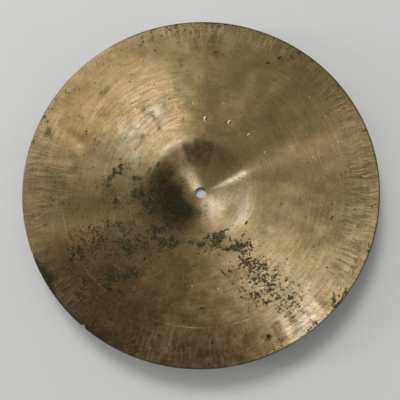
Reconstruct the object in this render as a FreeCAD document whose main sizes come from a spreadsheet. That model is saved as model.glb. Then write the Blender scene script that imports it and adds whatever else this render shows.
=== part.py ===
"""A pair of 14 inch hi-hat cymbals, laid down nested, both with the hollow side up.

All lengths are millimetres. The origin is the centre of the bore at the lowest face of the stack, and +Z is up.
Each cymbal is one turned and hammered sheet: a flat land round the bore, a domed bell, a reversed shoulder
curve, and a bow that rises to the rim and thins towards it.
"""

import FreeCAD, Part
import math
import os
import Sketcher

Vector = FreeCAD.Vector
KINDS = ("bottom", "top")

# Driving sizes of the pair. Both cymbals share one outer form, so that one lies inside the other.
SHARED_SIZES = {
    "cymbal_diameter": 355.6,
    "bore_diameter": 11.1,
    "bell_land_width": 5.4,
    "bell_diameter": 109.0,
    "bell_ball_radius": 79.0,
    "shoulder_radius": 12.0,
    "bow_ball_radius": 900.0,
    "rim_bevel": 0.2,
    "nest_clearance": 0.3,
    "cut_overrun": 2.0,
}

# Sheet thickness of each cymbal: the lower one of a pair is the heavier one.
THICKNESS_SIZES = {
    "top_bell_thickness": 1.58,
    "top_rim_thickness": 1.05,
    "bottom_bell_thickness": 1.85,
    "bottom_rim_thickness": 1.22,
}

# Two rings turned into the hollow face by one pointed tool.
LATHE_SIZES = {
    "inner_ring_radius": 137.5,
    "outer_ring_radius": 146.8,
    "lathe_ring_depth": 0.15,
    "lathe_tool_height": 0.6,
    "lathe_tool_width": 2.0,
}

# The ring of hammer marks on the upper cymbal's hollow face, struck by a ball-faced hammer.
HAMMER_SIZES = {
    "hammer_ring_radius": 75.0,
    "hammer_ball_radius": 20.0,
    "hammer_mark_depth": 0.15,
}

# Damage to the rims: one chip that goes through both, and a nick in the upper one.
DAMAGE_SIZES = {
    "chip_width": 5.4,
    "chip_depth": 2.2,
    "nick_width": 4.2,
    "nick_depth": 0.9,
}

# Angles in degrees round the axis from +X, numbers of marks, and shares.
PLAIN_NUMBERS = {
    "chip_angle": 224.0,
    "nick_angle": 309.0,
    "chip_apex_share": 0.35,
    "nick_apex_share": 0.1,
    "hammer_start_angle": 20.0,
    "hammer_mark_count": 19,
}

# Outer form, worked out from the bore to the rim. The bell and the bow are parts of balls centred on the axis,
# and the shoulder's arc touches both of them.
OUTER_FORM = {
    "rim_radius": "cymbal_diameter / 2",
    "bore_radius": "bore_diameter / 2",
    "bell_radius": "bell_diameter / 2",
    "land_radius": "bore_radius + bell_land_width",
    "bell_centre": "sqrt(bell_ball_radius^2 - land_radius^2)",
    "bell_edge_slope": "asin(bell_radius / bow_ball_radius)",
    "shoulder_x": "bell_radius + shoulder_radius * sin(bell_edge_slope)",
    "flank_slope": "asin(shoulder_x / (bell_ball_radius + shoulder_radius))",
    "shoulder_z": "bell_centre - (bell_ball_radius + shoulder_radius) * cos(flank_slope)",
    "flank_radius": "bell_ball_radius * sin(flank_slope)",
    "bell_height": "shoulder_z + shoulder_radius * cos(bell_edge_slope)",
    "bow_centre": "bell_height + bow_ball_radius * cos(bell_edge_slope)",
    "rim_slope": "asin(rim_radius / bow_ball_radius)",
    "rim_height": "bow_centre - bow_ball_radius * cos(rim_slope)",
    "nest_step": "(bottom_bell_thickness + nest_clearance) / cos(flank_slope)",
    "cut_height": "rim_height + bottom_bell_thickness + cut_overrun",
    "trim_radius": "2 * rim_radius",
    "gap_x": "(bell_ball_radius + cut_overrun) * sin(flank_slope)",
    "gap_z": "bell_centre - (bell_ball_radius + cut_overrun) * cos(flank_slope)",
    "bevel_radius": "rim_radius - cut_overrun",
    "facing_radius": "land_radius + cut_overrun",
    "facing_depth": "-cut_overrun",
}


def hollow_form(kind):
    """The hollow face of one cymbal. Its bell and shoulder lie one thickness above the outer ones, and its bow
    is part of another ball on the axis, through its own bell edge and rim, so the sheet thins evenly."""
    bell, rim = f"{kind}_bell_thickness", f"{kind}_rim_thickness"
    edge, lip, centre = f"{kind}_edge_height", f"{kind}_lip_height", f"{kind}_bow_centre"
    return {
        f"{kind}_bell_ball_radius": f"bell_ball_radius - {bell}",
        f"{kind}_shoulder_radius": f"shoulder_radius + {bell}",
        f"{kind}_gap_x": f"({kind}_bell_ball_radius - cut_overrun) * sin(flank_slope)",
        f"{kind}_gap_z": f"bell_centre - ({kind}_bell_ball_radius - cut_overrun) * cos(flank_slope)",
        edge: f"shoulder_z + sqrt({kind}_shoulder_radius^2 - (shoulder_x - bell_radius)^2)",
        lip: f"rim_height + {rim} / cos(rim_slope)",
        centre: f"(rim_radius^2 + {lip}^2 - bell_radius^2 - {edge}^2) / (2 * ({lip} - {edge}))",
        f"{kind}_bow_radius": f"sqrt(bell_radius^2 + ({centre} - {edge})^2)",
        f"{kind}_wall_top": f"{lip} - rim_bevel",
        f"{kind}_bevel_top": f"{kind}_wall_top + cut_overrun",
        f"{kind}_wall_foot": "rim_height + rim_bevel",
        f"{kind}_bevel_foot": f"{kind}_wall_foot - cut_overrun",
    }


def tool_heights(kind):
    """Height of each tool that dips into the hollow bow: the point of the lathe tool, its back, and the centre
    of the hammer's ball."""
    bow, centre = f"{kind}_bow_radius", f"{kind}_bow_centre"
    heights = {}
    for ring in ("inner_ring", "outer_ring"):
        surface = f"{centre} - sqrt({bow}^2 - {ring}_radius^2)"
        heights[f"{kind}_{ring}_point"] = f"{surface} - lathe_ring_depth"
        heights[f"{kind}_{ring}_back"] = f"{kind}_{ring}_point + lathe_tool_height"
    reach = f"({bow} - hammer_ball_radius + hammer_mark_depth)"
    heights[f"{kind}_hammer_height"] = f"{centre} - sqrt({reach}^2 - hammer_ring_radius^2)"
    return heights


LATHE_FORM = {
    f"{ring}_{side}": f"{ring}_radius {sign} lathe_tool_width / 2"
    for ring in ("inner_ring", "outer_ring") for side, sign in (("inside", "-"), ("outside", "+"))
}
DAMAGE_FORM = {
    f"{place}_{name}": formula.format(place)
    for place in ("chip", "nick") for name, formula in (
        ("apex_x", "rim_radius - {0}_depth"),
        ("apex_y", "{0}_apex_share * {0}_width"),
        ("half_width", "{0}_width / 2"),
        ("outside", "rim_radius + cut_overrun"),
    )
}


def make_sheet(doc):
    """Writes every size and formula to the spreadsheet, one row each, under its own name."""
    sheet = doc.addObject("Spreadsheet::Sheet", "sizes")
    rows = {}
    for group in (SHARED_SIZES, THICKNESS_SIZES, LATHE_SIZES, HAMMER_SIZES, DAMAGE_SIZES, PLAIN_NUMBERS):
        rows.update({name: str(value) for name, value in group.items()})
    formulas = [OUTER_FORM, LATHE_FORM, DAMAGE_FORM]
    for kind in KINDS:
        formulas += [hollow_form(kind), tool_heights(kind)]
    for group in formulas:
        rows.update({name: "=" + formula for name, formula in group.items()})
    for number, name in enumerate(rows, 1):
        sheet.set(f"A{number}", name)
        sheet.setAlias(f"B{number}", name)
    for number, content in enumerate(rows.values(), 1):
        sheet.set(f"B{number}", content)
    doc.recompute()
    return sheet


def value_of(sheet, name):
    """A cell's number, with an angle in degrees."""
    value = sheet.get(name)
    return value.Value if hasattr(value, "Value") else value


def origin_feature(body, role):
    for feature in body.Origin.OriginFeatures:
        if feature.Role == role:
            return feature
    raise ValueError(role)


def add_sketch(body, name, role):
    """An empty sketch on one of the body's own origin planes."""
    sketch = body.newObject("Sketcher::SketchObject", name)
    sketch.AttachmentSupport = [(origin_feature(body, role), "")]
    sketch.MapMode = "FlatFace"
    return sketch


def add_size(sketch, kind, where, cell, sheet):
    """A dimension of the sketch that follows a cell of the sheet."""
    index = sketch.addConstraint(Sketcher.Constraint(kind, *where, value_of(sheet, cell)))
    sketch.setExpression(f"Constraints[{index}]", f"sizes.{cell}")


def add_joints(sketch, joints):
    for joint in joints:
        sketch.addConstraint(Sketcher.Constraint(*joint))


def finish_sketch(sketch):
    sketch.Document.recompute()
    if not sketch.FullyConstrained:
        raise ValueError(f"{sketch.Name} has free dimensions")


def line(start, end):
    return Part.LineSegment(Vector(start[0], start[1], 0), Vector(end[0], end[1], 0))


def arc(centre, radius, start_degrees, end_degrees):
    circle = Part.Circle(Vector(centre[0], centre[1], 0), Vector(0, 0, 1), radius)
    return Part.ArcOfCircle(circle, math.radians(start_degrees), math.radians(end_degrees))


def add_outline(sketch, corners, sheet):
    """A closed outline of straight sides through corners given as pairs of cells. No cell stands for zero."""

    def number(cell):
        return value_of(sheet, cell) if cell else 0

    points = [tuple(number(cell) for cell in corner) for corner in corners]
    sides = sketch.addGeometry([line(a, b) for a, b in zip(points, points[1:] + points[:1])])
    for side, following in zip(sides, sides[1:] + sides[:1]):
        sketch.addConstraint(Sketcher.Constraint("Coincident", side, 2, following, 1))
    for side, (across, up) in zip(sides, corners):
        for direction, axis, cell in (("DistanceX", -2, across), ("DistanceY", -1, up)):
            if cell:
                add_size(sketch, direction, (-1, 1, side, 1), cell, sheet)
            else:
                sketch.addConstraint(Sketcher.Constraint("PointOnObject", side, 1, axis))


def add_ball(body, kind, name, radius_cell, height_cell):
    """A ball centred above the bore, as metal or as a cut. Its own poles lie level, clear of the sheet."""
    ball = body.newObject(kind, name)
    ball.Placement = FreeCAD.Placement(Vector(0, 0, 0), FreeCAD.Rotation(Vector(0, 1, 0), -90))
    ball.setExpression("Radius", f"sizes.{radius_cell}")
    ball.setExpression("Placement.Base.z", f"sizes.{height_cell}")
    return ball


def add_outer_balls(body, kind):
    """The metal to start from: the ball of the bow, and the ball of the bell that stands out below it."""
    metal = "PartDesign::AdditiveSphere"
    add_ball(body, metal, f"{kind}_outer_bow", "bow_ball_radius", "bow_centre")
    add_ball(body, metal, f"{kind}_outer_bell", "bell_ball_radius", "bell_centre")


def cut_hollow_balls(body, kind):
    """Takes the hollow side's own two balls out, which leaves a bell in a lens that thins outwards."""
    cut = "PartDesign::SubtractiveSphere"
    add_ball(body, cut, f"{kind}_hollow_bow", f"{kind}_bow_radius", f"{kind}_bow_centre")
    add_ball(body, cut, f"{kind}_hollow_bell", f"{kind}_bell_ball_radius", "bell_centre")


def trim_sheet(body, kind, sheet):
    """One turning cut: it opens the bore, faces the land, bevels the rim and clears the shoulder's place."""
    sketch = add_sketch(body, f"{kind}_trim_outlines", "XZ_Plane")
    add_outline(sketch, [
        ("", "facing_depth"),
        ("facing_radius", "facing_depth"),
        ("facing_radius", ""),
        ("bore_radius", ""),
        ("bore_radius", "bell_height"),
        ("", "bell_height"),
    ], sheet)
    add_outline(sketch, [
        ("gap_x", "gap_z"),
        ("bell_radius", ""),
        ("bell_radius", "cut_height"),
        (f"{kind}_gap_x", f"{kind}_gap_z"),
    ], sheet)
    add_outline(sketch, [
        ("bevel_radius", ""),
        ("trim_radius", ""),
        ("trim_radius", "trim_radius"),
        ("bevel_radius", "trim_radius"),
        ("bevel_radius", f"{kind}_bevel_top"),
        ("rim_radius", f"{kind}_wall_top"),
        ("rim_radius", f"{kind}_wall_foot"),
        ("bevel_radius", f"{kind}_bevel_foot"),
    ], sheet)
    finish_sketch(sketch)
    groove = body.newObject("PartDesign::Groove", f"{kind}_trimmed_sheet")
    groove.Profile = sketch
    groove.ReferenceAxis = (sketch, ["V_Axis"])


def add_shoulder(body, kind, sheet):
    """Joins the bell and the bow by the turned shoulder, and levels the hollow side's land round the bore."""
    start, end, centre = 1, 2, 3
    origin = (-1, 1)
    flank, edge = (90 + value_of(sheet, name) for name in ("flank_slope", "bell_edge_slope"))
    middle = (value_of(sheet, "shoulder_x"), value_of(sheet, "shoulder_z"))
    low_arc = arc(middle, value_of(sheet, "shoulder_radius"), edge, flank)
    high_arc = arc(middle, value_of(sheet, f"{kind}_shoulder_radius"), edge, flank)

    sketch = add_sketch(body, f"{kind}_shoulder_section", "XZ_Plane")
    low, high, edge_wall, flank_wall = sketch.addGeometry([
        low_arc,
        high_arc,
        Part.LineSegment(low_arc.StartPoint, high_arc.StartPoint),
        Part.LineSegment(low_arc.EndPoint, high_arc.EndPoint),
    ])
    add_joints(sketch, [
        ("Coincident", low, centre, high, centre),
        ("Coincident", edge_wall, start, low, start),
        ("Coincident", edge_wall, end, high, start),
        ("Coincident", flank_wall, start, low, end),
        ("Coincident", flank_wall, end, high, end),
        ("Vertical", edge_wall),
        ("PointOnObject", low, centre, flank_wall),
    ])
    for direction, where, cell in (
        ("DistanceX", (*origin, low, centre), "shoulder_x"),
        ("DistanceY", (*origin, low, centre), "shoulder_z"),
        ("Radius", (low,), "shoulder_radius"),
        ("Radius", (high,), f"{kind}_shoulder_radius"),
        ("DistanceX", (*origin, low, start), "bell_radius"),
        ("DistanceX", (*origin, low, end), "flank_radius"),
    ):
        add_size(sketch, direction, where, cell, sheet)
    thickness = f"{kind}_bell_thickness"
    add_outline(sketch, [("bore_radius", ""), ("land_radius", ""), ("land_radius", thickness),
                         ("bore_radius", thickness)], sheet)
    finish_sketch(sketch)
    turned = body.newObject("PartDesign::Revolution", f"{kind}_shoulder")
    turned.Profile = sketch
    turned.ReferenceAxis = (sketch, ["V_Axis"])


def turn_lathe_rings(body, kind, sheet):
    """Both lathe rings in the hollow bow, as one groove turned by a pointed tool."""
    sketch = add_sketch(body, f"{kind}_lathe_tool", "XZ_Plane")
    for ring in ("inner_ring", "outer_ring"):
        back = f"{kind}_{ring}_back"
        add_outline(sketch, [(f"{ring}_radius", f"{kind}_{ring}_point"), (f"{ring}_outside", back),
                             (f"{ring}_inside", back)], sheet)
    finish_sketch(sketch)
    groove = body.newObject("PartDesign::Groove", f"{kind}_lathe_rings")
    groove.Profile = sketch
    groove.ReferenceAxis = (sketch, ["V_Axis"])


def strike_hammer_ring(body, kind):
    """A ring of hammer marks: a ball dips into the hollow bow, and the mark repeats round the axis."""
    name = f"{kind}_hammer"
    ball = add_ball(body, "PartDesign::SubtractiveSphere", f"{name}_mark", "hammer_ball_radius", f"{name}_height")
    for direction, wave in (("x", "cos"), ("y", "sin")):
        place = f"sizes.hammer_ring_radius * {wave}(sizes.hammer_start_angle)"
        ball.setExpression(f"Placement.Base.{direction}", place)
    body.Document.recompute()
    ring = body.newObject("PartDesign::PolarPattern", f"{name}_ring")
    ring.Originals = [ball]
    ring.Axis = (origin_feature(body, "Z_Axis"), [""])
    ring.Angle = 360
    ring.setExpression("Occurrences", "sizes.hammer_mark_count")
    body.Tip = ring


def bite_rim(body, kind, place, sheet):
    """A bite out of the rim: a lopsided notch, cut straight through the sheet at one angle."""
    sketch = add_sketch(body, f"{kind}_{place}_outline", "XY_Plane")
    sketch.setExpression("AttachmentOffset.Rotation.Angle", f"sizes.{place}_angle")
    rim, outside, half = (value_of(sheet, name) for name in ("rim_radius", f"{place}_outside", f"{place}_half_width"))
    apex = (value_of(sheet, f"{place}_apex_x"), value_of(sheet, f"{place}_apex_y"))
    corners = [apex, (rim, half), (outside, half), (outside, -half), (rim, -half)]
    sides = sketch.addGeometry([line(a, b) for a, b in zip(corners, corners[1:] + corners[:1])])
    steep, upper, outer, lower = sides[:4]
    for side, following in zip(sides, sides[1:] + sides[:1]):
        sketch.addConstraint(Sketcher.Constraint("Coincident", side, 2, following, 1))
    add_joints(sketch, [
        ("Horizontal", upper),
        ("Symmetric", outer, 1, outer, 2, -1),
        ("Symmetric", upper, 1, lower, 2, -1),
    ])
    for direction, where, cell in (
        ("DistanceX", (-1, 1, steep, 1), f"{place}_apex_x"),
        ("DistanceY", (-1, 1, steep, 1), f"{place}_apex_y"),
        ("DistanceX", (-1, 1, upper, 1), "rim_radius"),
        ("DistanceX", (-1, 1, outer, 1), f"{place}_outside"),
        ("DistanceY", (-1, 1, outer, 1), f"{place}_half_width"),
    ):
        add_size(sketch, direction, where, cell, sheet)
    finish_sketch(sketch)
    cut = body.newObject("PartDesign::Pocket", f"{kind}_{place}")
    cut.Profile = sketch
    cut.Reversed = True
    cut.setExpression("Length", "sizes.cut_height")


def grown(body, step, *arguments):
    """Runs one step and gives the volume of metal that it added, which is negative for a cut."""
    before = body.Shape.Volume if body.Tip else 0
    step(body, *arguments)
    body.Document.recompute()
    return body.Shape.Volume - before


def make_cymbal(doc, kind, sheet, hammered, bites):
    """Builds one cymbal. Each step must change the sheet as it is meant to."""
    body = doc.addObject("PartDesign::Body", f"{kind}_cymbal")
    body.Label = f"{kind}_cymbal"
    steps = [
        (add_outer_balls, 1, (kind,)),
        (cut_hollow_balls, -1, (kind,)),
        (trim_sheet, -1, (kind, sheet)),
        (add_shoulder, 1, (kind, sheet)),
        (turn_lathe_rings, -1, (kind, sheet)),
    ]
    if hammered:
        steps.append((strike_hammer_ring, -1, (kind,)))
    steps += [(bite_rim, -1, (kind, place, sheet)) for place in bites]
    for step, direction, arguments in steps:
        if not grown(body, step, *arguments) * direction > 0:
            raise ValueError(f"{step.__name__} failed on {body.Label}")
    return body


def main():
    doc = FreeCAD.newDocument("hi_hat_cymbals")
    sheet = make_sheet(doc)
    bottom = make_cymbal(doc, "bottom", sheet, False, ["chip"])
    top = make_cymbal(doc, "top", sheet, True, ["chip", "nick"])
    top.setExpression("Placement.Base.z", "sizes.nest_step")
    doc.recompute()
    for thing in doc.Objects:
        if {"Invalid", "Error"} & set(thing.State):
            raise ValueError(f"{thing.Name}: {thing.State}")
    os.makedirs("parts", exist_ok=True)
    for body in (bottom, top):
        if body.Shape.isNull() or not body.Shape.isValid() or len(body.Shape.Solids) != 1:
            raise ValueError(f"{body.Label} is not one valid solid")
        body.Shape.exportStep(f"parts/{body.Label}.step")
        print(body.Label, "volume", round(body.Shape.Volume, 1), "box", body.Shape.BoundBox)


main()
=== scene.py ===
"""Looks of a nested pair of 14 inch hi-hat cymbals, hollow sides up, on a pale floor.

Lengths are metres in the frame of the CAD model: the origin is the centre of the bore at the lowest face, and
+Z is up. Angles on a cymbal are degrees round the axis from +X. Tables give radii and widths in millimetres.
"""

import math
import random

import bmesh
import bpy
import numpy as np
from mathutils import Matrix, Vector


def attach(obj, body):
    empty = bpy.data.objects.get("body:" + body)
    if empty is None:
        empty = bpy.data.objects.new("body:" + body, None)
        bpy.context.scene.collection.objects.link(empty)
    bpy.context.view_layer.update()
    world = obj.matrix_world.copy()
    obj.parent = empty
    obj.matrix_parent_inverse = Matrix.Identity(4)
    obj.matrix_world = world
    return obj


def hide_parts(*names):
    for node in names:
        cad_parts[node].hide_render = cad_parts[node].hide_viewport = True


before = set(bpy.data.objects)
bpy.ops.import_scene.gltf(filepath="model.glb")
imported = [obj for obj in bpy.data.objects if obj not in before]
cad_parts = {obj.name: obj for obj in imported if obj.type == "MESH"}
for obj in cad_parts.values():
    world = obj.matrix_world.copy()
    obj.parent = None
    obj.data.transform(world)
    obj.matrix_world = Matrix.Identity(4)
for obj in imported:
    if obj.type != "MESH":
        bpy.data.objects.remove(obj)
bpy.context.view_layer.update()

MM = 0.001
FULL_TURN = 2 * math.pi

# Form of the sheets, with the same sizes as the CAD model
RIM_RADIUS = 177.8 * MM
BORE_RADIUS = 5.55 * MM
LAND_RADIUS = 10.95 * MM
BELL_EDGE = 54.5 * MM
BELL_BALL = 79.0 * MM
SHOULDER = 12.0 * MM
BOW_BALL = 900.0 * MM
NEST_CLEARANCE = 0.3 * MM
THICKNESS = {"bottom": (1.85 * MM, 1.22 * MM), "top": (1.58 * MM, 1.05 * MM)}

BELL_CENTRE = math.sqrt(BELL_BALL ** 2 - LAND_RADIUS ** 2)
EDGE_SLOPE = math.asin(BELL_EDGE / BOW_BALL)
SHOULDER_X = BELL_EDGE + SHOULDER * math.sin(EDGE_SLOPE)
FLANK_SLOPE = math.asin(SHOULDER_X / (BELL_BALL + SHOULDER))
SHOULDER_Z = BELL_CENTRE - (BELL_BALL + SHOULDER) * math.cos(FLANK_SLOPE)
BOW_CENTRE = SHOULDER_Z + SHOULDER * math.cos(EDGE_SLOPE) + BOW_BALL * math.cos(EDGE_SLOPE)
RIM_SLOPE = math.asin(RIM_RADIUS / BOW_BALL)
RIM_HEIGHT = BOW_CENTRE - BOW_BALL * math.cos(RIM_SLOPE)
LIFT = {"bottom": 0.0, "top": (THICKNESS["bottom"][0] + NEST_CLEARANCE) / math.cos(FLANK_SLOPE)}

# The bell's ball is followed out to this share of its radius, well past the flank, where its root stays real.
BALL_LIMIT_SHARE = 0.9


def face_height(radius, thickness=0.0, rim_thickness=0.0):
    """Height over the outer land of the outer face, or of the hollow face one thickness above it."""
    radius = np.asarray(radius, float)
    ball, shoulder = BELL_BALL - thickness, SHOULDER + thickness
    on_ball = np.minimum(radius, ball * BALL_LIMIT_SHARE)
    bell = np.maximum(BELL_CENTRE - np.sqrt(ball ** 2 - on_ball ** 2), thickness)
    side = np.clip(SHOULDER_X - radius, -shoulder, shoulder)
    curve = SHOULDER_Z + np.sqrt(shoulder ** 2 - side ** 2)
    edge = SHOULDER_Z + math.sqrt(shoulder ** 2 - (SHOULDER_X - BELL_EDGE) ** 2)
    lip = RIM_HEIGHT + rim_thickness / math.cos(RIM_SLOPE)
    centre = (RIM_RADIUS ** 2 + lip ** 2 - BELL_EDGE ** 2 - edge ** 2) / (2 * (lip - edge))
    bow_ball = math.hypot(BELL_EDGE, centre - edge)
    bow = centre - np.sqrt(bow_ball ** 2 - radius ** 2)
    flank = ball * math.sin(FLANK_SLOPE)
    return np.where(radius < flank, bell, np.where(radius < BELL_EDGE, curve, bow))


def wrapped(degrees):
    """Difference of two angles, from -180 to 180 degrees."""
    return (degrees + 180.0) % 360.0 - 180.0


def soft_bump(away, width):
    """1 at no distance, fading out smoothly over about two widths."""
    return np.exp(-(away / width) ** 2)


def smooth_step(value, low, high):
    share = np.clip((value - low) / (high - low), 0, 1)
    return share * share * (3 - 2 * share)


# Work of the lathe and the hammer in the hollow face

# Turned rings: radius, depth and half width.
LATHE_RINGS = [
    (146.8, 0.014, 0.8), (139.5, 0.012, 0.8), (57.5, 0.03, 1.2), (121.0, 0.008, 0.8), (90.5, 0.008, 0.8),
]

# Rows of soft hammer blows: radius, count, start angle, spread and depth.
HAMMER_ROWS = [
    (66, 17, 3, 9.0, 0.11), (84, 24, 11, 8.5, 0.13), (101, 26, 7, 9.0, 0.14), (118, 30, 2, 8.0, 0.13),
    (133, 34, 5, 7.5, 0.11), (158, 46, 1, 5.5, 0.075), (169, 58, 3, 4.5, 0.06),
]

# Distinct marks left by the hammer's edge: angle, radius, size, and the way its raised edge faces.
EDGE_MARKS = [
    (76.6, 74.5, 2.9, 165), (57.9, 76.6, 2.4, 145), (40.1, 75.4, 1.5, 120), (21.2, 76.5, 1.3, 130),
    (67.2, 93.5, 1.3, 150), (86.2, 91.5, 1.6, 170), (258, 101, 1.1, 60), (272, 104, 1.0, 70),
    (321, 74, 0.9, 150), (7, 119, 1.0, 150),
]

# Single deep dents: angle, radius, half width and depth.
DENTS = [
    (115.8, 77.5, 3.2, 0.17), (115, 90, 3.2, 0.15), (117.8, 102.5, 3.2, 0.14), (130, 82, 3.4, 0.14),
    (126.5, 78, 2.6, 0.1), (95.2, 75.5, 3.0, 0.12), (134, 76, 4.0, 0.08), (120.2, 144, 3.0, 0.09),
    (119.3, 134, 3.4, 0.1), (128.5, 133, 3.4, 0.1), (126.5, 141.5, 3.0, 0.06), (104, 101, 4.5, 0.1),
    (139, 92, 4.5, 0.08), (108, 128, 5.0, 0.09), (152.5, 165, 3.4, 0.07), (148, 160, 4.0, 0.09),
    (151.8, 131, 5.0, 0.09), (160.8, 134.5, 5.0, 0.09), (293.3, 154.5, 5.0, 0.09), (303, 172, 4.0, 0.08),
    (306, 158, 5.0, 0.09), (288, 150, 5.0, 0.07), (330, 82, 5.0, 0.07), (316, 96, 5.0, 0.07),
]

# How far the blows stray: share of their pitch, millimetres across, and shares of their size and depth.
BLOW_PITCH_SHARE = 0.22
BLOW_STRAY = 3.0
BLOW_SIZE_SHARES = (0.7, 1.25)
BLOW_DEPTH_SHARES = (0.3, 1.2)
BLOW_REACH = 2.6
HAMMER_SEEDS = {"top": 11, "bottom": 23}

# The turned rings' walls, as a share of their half width, and the depth of the distinct marks.
LATHE_WALL_SHARE = 0.6
EDGE_MARK_DEPTH = 0.09

# Ripples of an uneven sheet: their number, shares of the wave length, and what brings their sum to about 1.
RIPPLES = 18
RIPPLE_SHARES = (0.6, 1.9)
RIPPLE_LEVEL = 1.4

# Unevenness of both sheets. All this work fades in from the land and out at the rim, and on the outer face
# the unevenness shows only in part.
UNEVEN_LENGTH = 55 * MM
UNEVEN_HEIGHT = 0.12 * MM
UNEVEN_SEED = 4
WORK_START = 9 * MM
WORK_FADE_IN = 8 * MM
WORK_FADE_OUT = 4 * MM
OUTSIDE_SHARE = 0.25


def soft_hammering(x, y, seed):
    """Height change of the hollow face under the rows of soft blows."""
    rng = random.Random(seed)
    change = np.zeros_like(x)
    for radius, count, start, spread, depth in HAMMER_ROWS:
        for i in range(count):
            stray = rng.uniform(-BLOW_PITCH_SHARE, BLOW_PITCH_SHARE)
            at = math.radians(start + 360.0 * (i + stray) / count)
            r = (radius + rng.uniform(-BLOW_STRAY, BLOW_STRAY)) * MM
            size = spread * rng.uniform(*BLOW_SIZE_SHARES) * MM
            deep = depth * rng.uniform(*BLOW_DEPTH_SHARES) * MM
            away = (x - r * math.cos(at)) ** 2 + (y - r * math.sin(at)) ** 2
            near = away < (BLOW_REACH * size) ** 2
            change[near] -= deep * np.exp(-away[near] / size ** 2)
    return change


def single_dents(x, y):
    """Height change under the distinct marks of the hammer's edge and the single deep dents."""
    change = np.zeros_like(x)
    marks = [(*mark[:3], EDGE_MARK_DEPTH) for mark in EDGE_MARKS]
    for degrees, radius, half, depth in marks + DENTS:
        at = math.radians(degrees)
        away = np.hypot(x - radius * MM * math.cos(at), y - radius * MM * math.sin(at))
        change -= depth * MM * soft_bump(away, half * MM)
    return change


def waviness(x, y, wave_length, seed):
    """Slow unevenness, about -1 to 1, from a few seeded ripples that cross each other."""
    rng = random.Random(seed)
    total = np.zeros_like(x)
    for _ in range(RIPPLES):
        way, phase = rng.uniform(0, FULL_TURN), rng.uniform(0, FULL_TURN)
        pitch = FULL_TURN / (wave_length * rng.uniform(*RIPPLE_SHARES))
        total += np.sin((x * math.cos(way) + y * math.sin(way)) * pitch + phase)
    return total / math.sqrt(RIPPLES) / RIPPLE_LEVEL


def sheet_change(kind, x, y, hollow):
    """Height change of a sheet at points of its hollow face (hollow 1) or of its outer face (hollow 0)."""
    radius = np.hypot(x, y)
    change = np.zeros(len(radius))
    for ring, depth, half in LATHE_RINGS:
        change -= depth * MM * soft_bump(radius - ring * MM, half * LATHE_WALL_SHARE * MM)
    change += soft_hammering(x, y, HAMMER_SEEDS[kind])
    if kind == "top":
        change += single_dents(x, y)
    fade_in = np.clip((radius - WORK_START) / WORK_FADE_IN, 0, 1)
    fade_out = np.clip((RIM_RADIUS - radius) / WORK_FADE_OUT, 0, 1)
    change = change * hollow + UNEVEN_HEIGHT * (waviness(x, y, UNEVEN_LENGTH, UNEVEN_SEED) - 1.0)
    return change * fade_in * fade_out * (OUTSIDE_SHARE + (1 - OUTSIDE_SHARE) * hollow)


# Bites out of the rim: angle, half width in degrees, depth, steep side, and the bodies.
BITES = [
    (224.0, 0.87, 2.2, 1, ("bottom", "top")),
    (309.0, 0.68, 0.9, -1, ("top",)),
    (303.2, 0.35, 0.45, 1, ("top",)),
    (195.4, 0.45, 0.5, 1, ("top",)),
    (4.0, 0.35, 0.35, -1, ("top",)),
]
BITE_PEAK_SHARE = 0.35

# How strongly and over how many degrees the columns draw together at a bite.
GATHER_SHARE = 0.65
GATHER_WIDTH = 2.9

# The rim is out of round by two waves: height, waves round the rim, and phase. Waves and bites draw in the
# sheet over a narrow zone by the rim.
RIM_WAVES = [(0.12, 3, 0.6), (0.05, 11, 0.0)]
RIM_PULL_WIDTH = 7 * MM
RIM_PULL_POWER = 1.5


def gather_columns(angle):
    """Draws the columns of a mesh together at each bite, so that its corners are crisp."""
    for centre, *_ in BITES:
        away = wrapped(angle - centre)
        angle = angle - away * GATHER_SHARE * soft_bump(away, GATHER_WIDTH)
    return angle


def bite_depth(kind, angle):
    """How far the rim is bitten in at each angle."""
    depth = np.zeros_like(angle)
    for centre, half, deep, side, kinds in BITES:
        if kind in kinds:
            away = wrapped(angle - centre) * side / half
            rise = np.clip((away + 1.0) / (1.0 + BITE_PEAK_SHARE), 0, 1)
            fall = np.clip((1.0 - away) / (1.0 - BITE_PEAK_SHARE), 0, 1)
            depth = np.maximum(depth, np.where(away < BITE_PEAK_SHARE, rise, fall) * deep * MM)
    return depth


# Meshes of the two sheets

# A sheet is spun as a wedge and doubled this many times.
DOUBLINGS = 4
MERGE_DISTANCE = 0.005 * MM

# Stations across a sheet: on the land, the shoulder's zone with its closer steps, and how far the outermost
# ones lie from the bore's wall and from the rim.
LAND_STATIONS = 4
SHOULDER_START = 46 * MM
SHOULDER_END = 60 * MM
BORE_EDGE = 0.25 * MM
RIM_STATION_INSETS = [0.9 * MM, 0.45 * MM]
LAST_BOW_INSET = 1.6 * MM

# Stations across a turned ring, as shares of its half width, and the space kept free beside them.
RING_STATION_SHARES = (-1.0, -0.45, 0.0, 0.45, 1.0)
RING_SPACE = 0.35

# The rim's rounded edge: how far in, and the share of its height.
# The bore's edge: how far out, and how far below the face.
RIM_NOSE = [(0.16, 0.05), (0.02, 0.26), (0.0, 0.5), (0.03, 0.76), (0.17, 0.95)]
BORE_LIP = [(0.05, 0.06), (0.0, 0.3)]


def stations(bell_step, shoulder_step, bow_step):
    """Radii from the bore to the rim, closer together on the shoulder."""
    radii = list(np.linspace(BORE_RADIUS + BORE_EDGE, LAND_RADIUS, LAND_STATIONS))
    radii += list(np.arange(LAND_RADIUS + bell_step, SHOULDER_START, bell_step))
    radii += list(np.arange(SHOULDER_START, SHOULDER_END, shoulder_step))
    radii += list(np.arange(SHOULDER_END, RIM_RADIUS - LAST_BOW_INSET, bow_step))
    radii += [RIM_RADIUS - inset for inset in RIM_STATION_INSETS]
    return sorted(radii)


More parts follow.
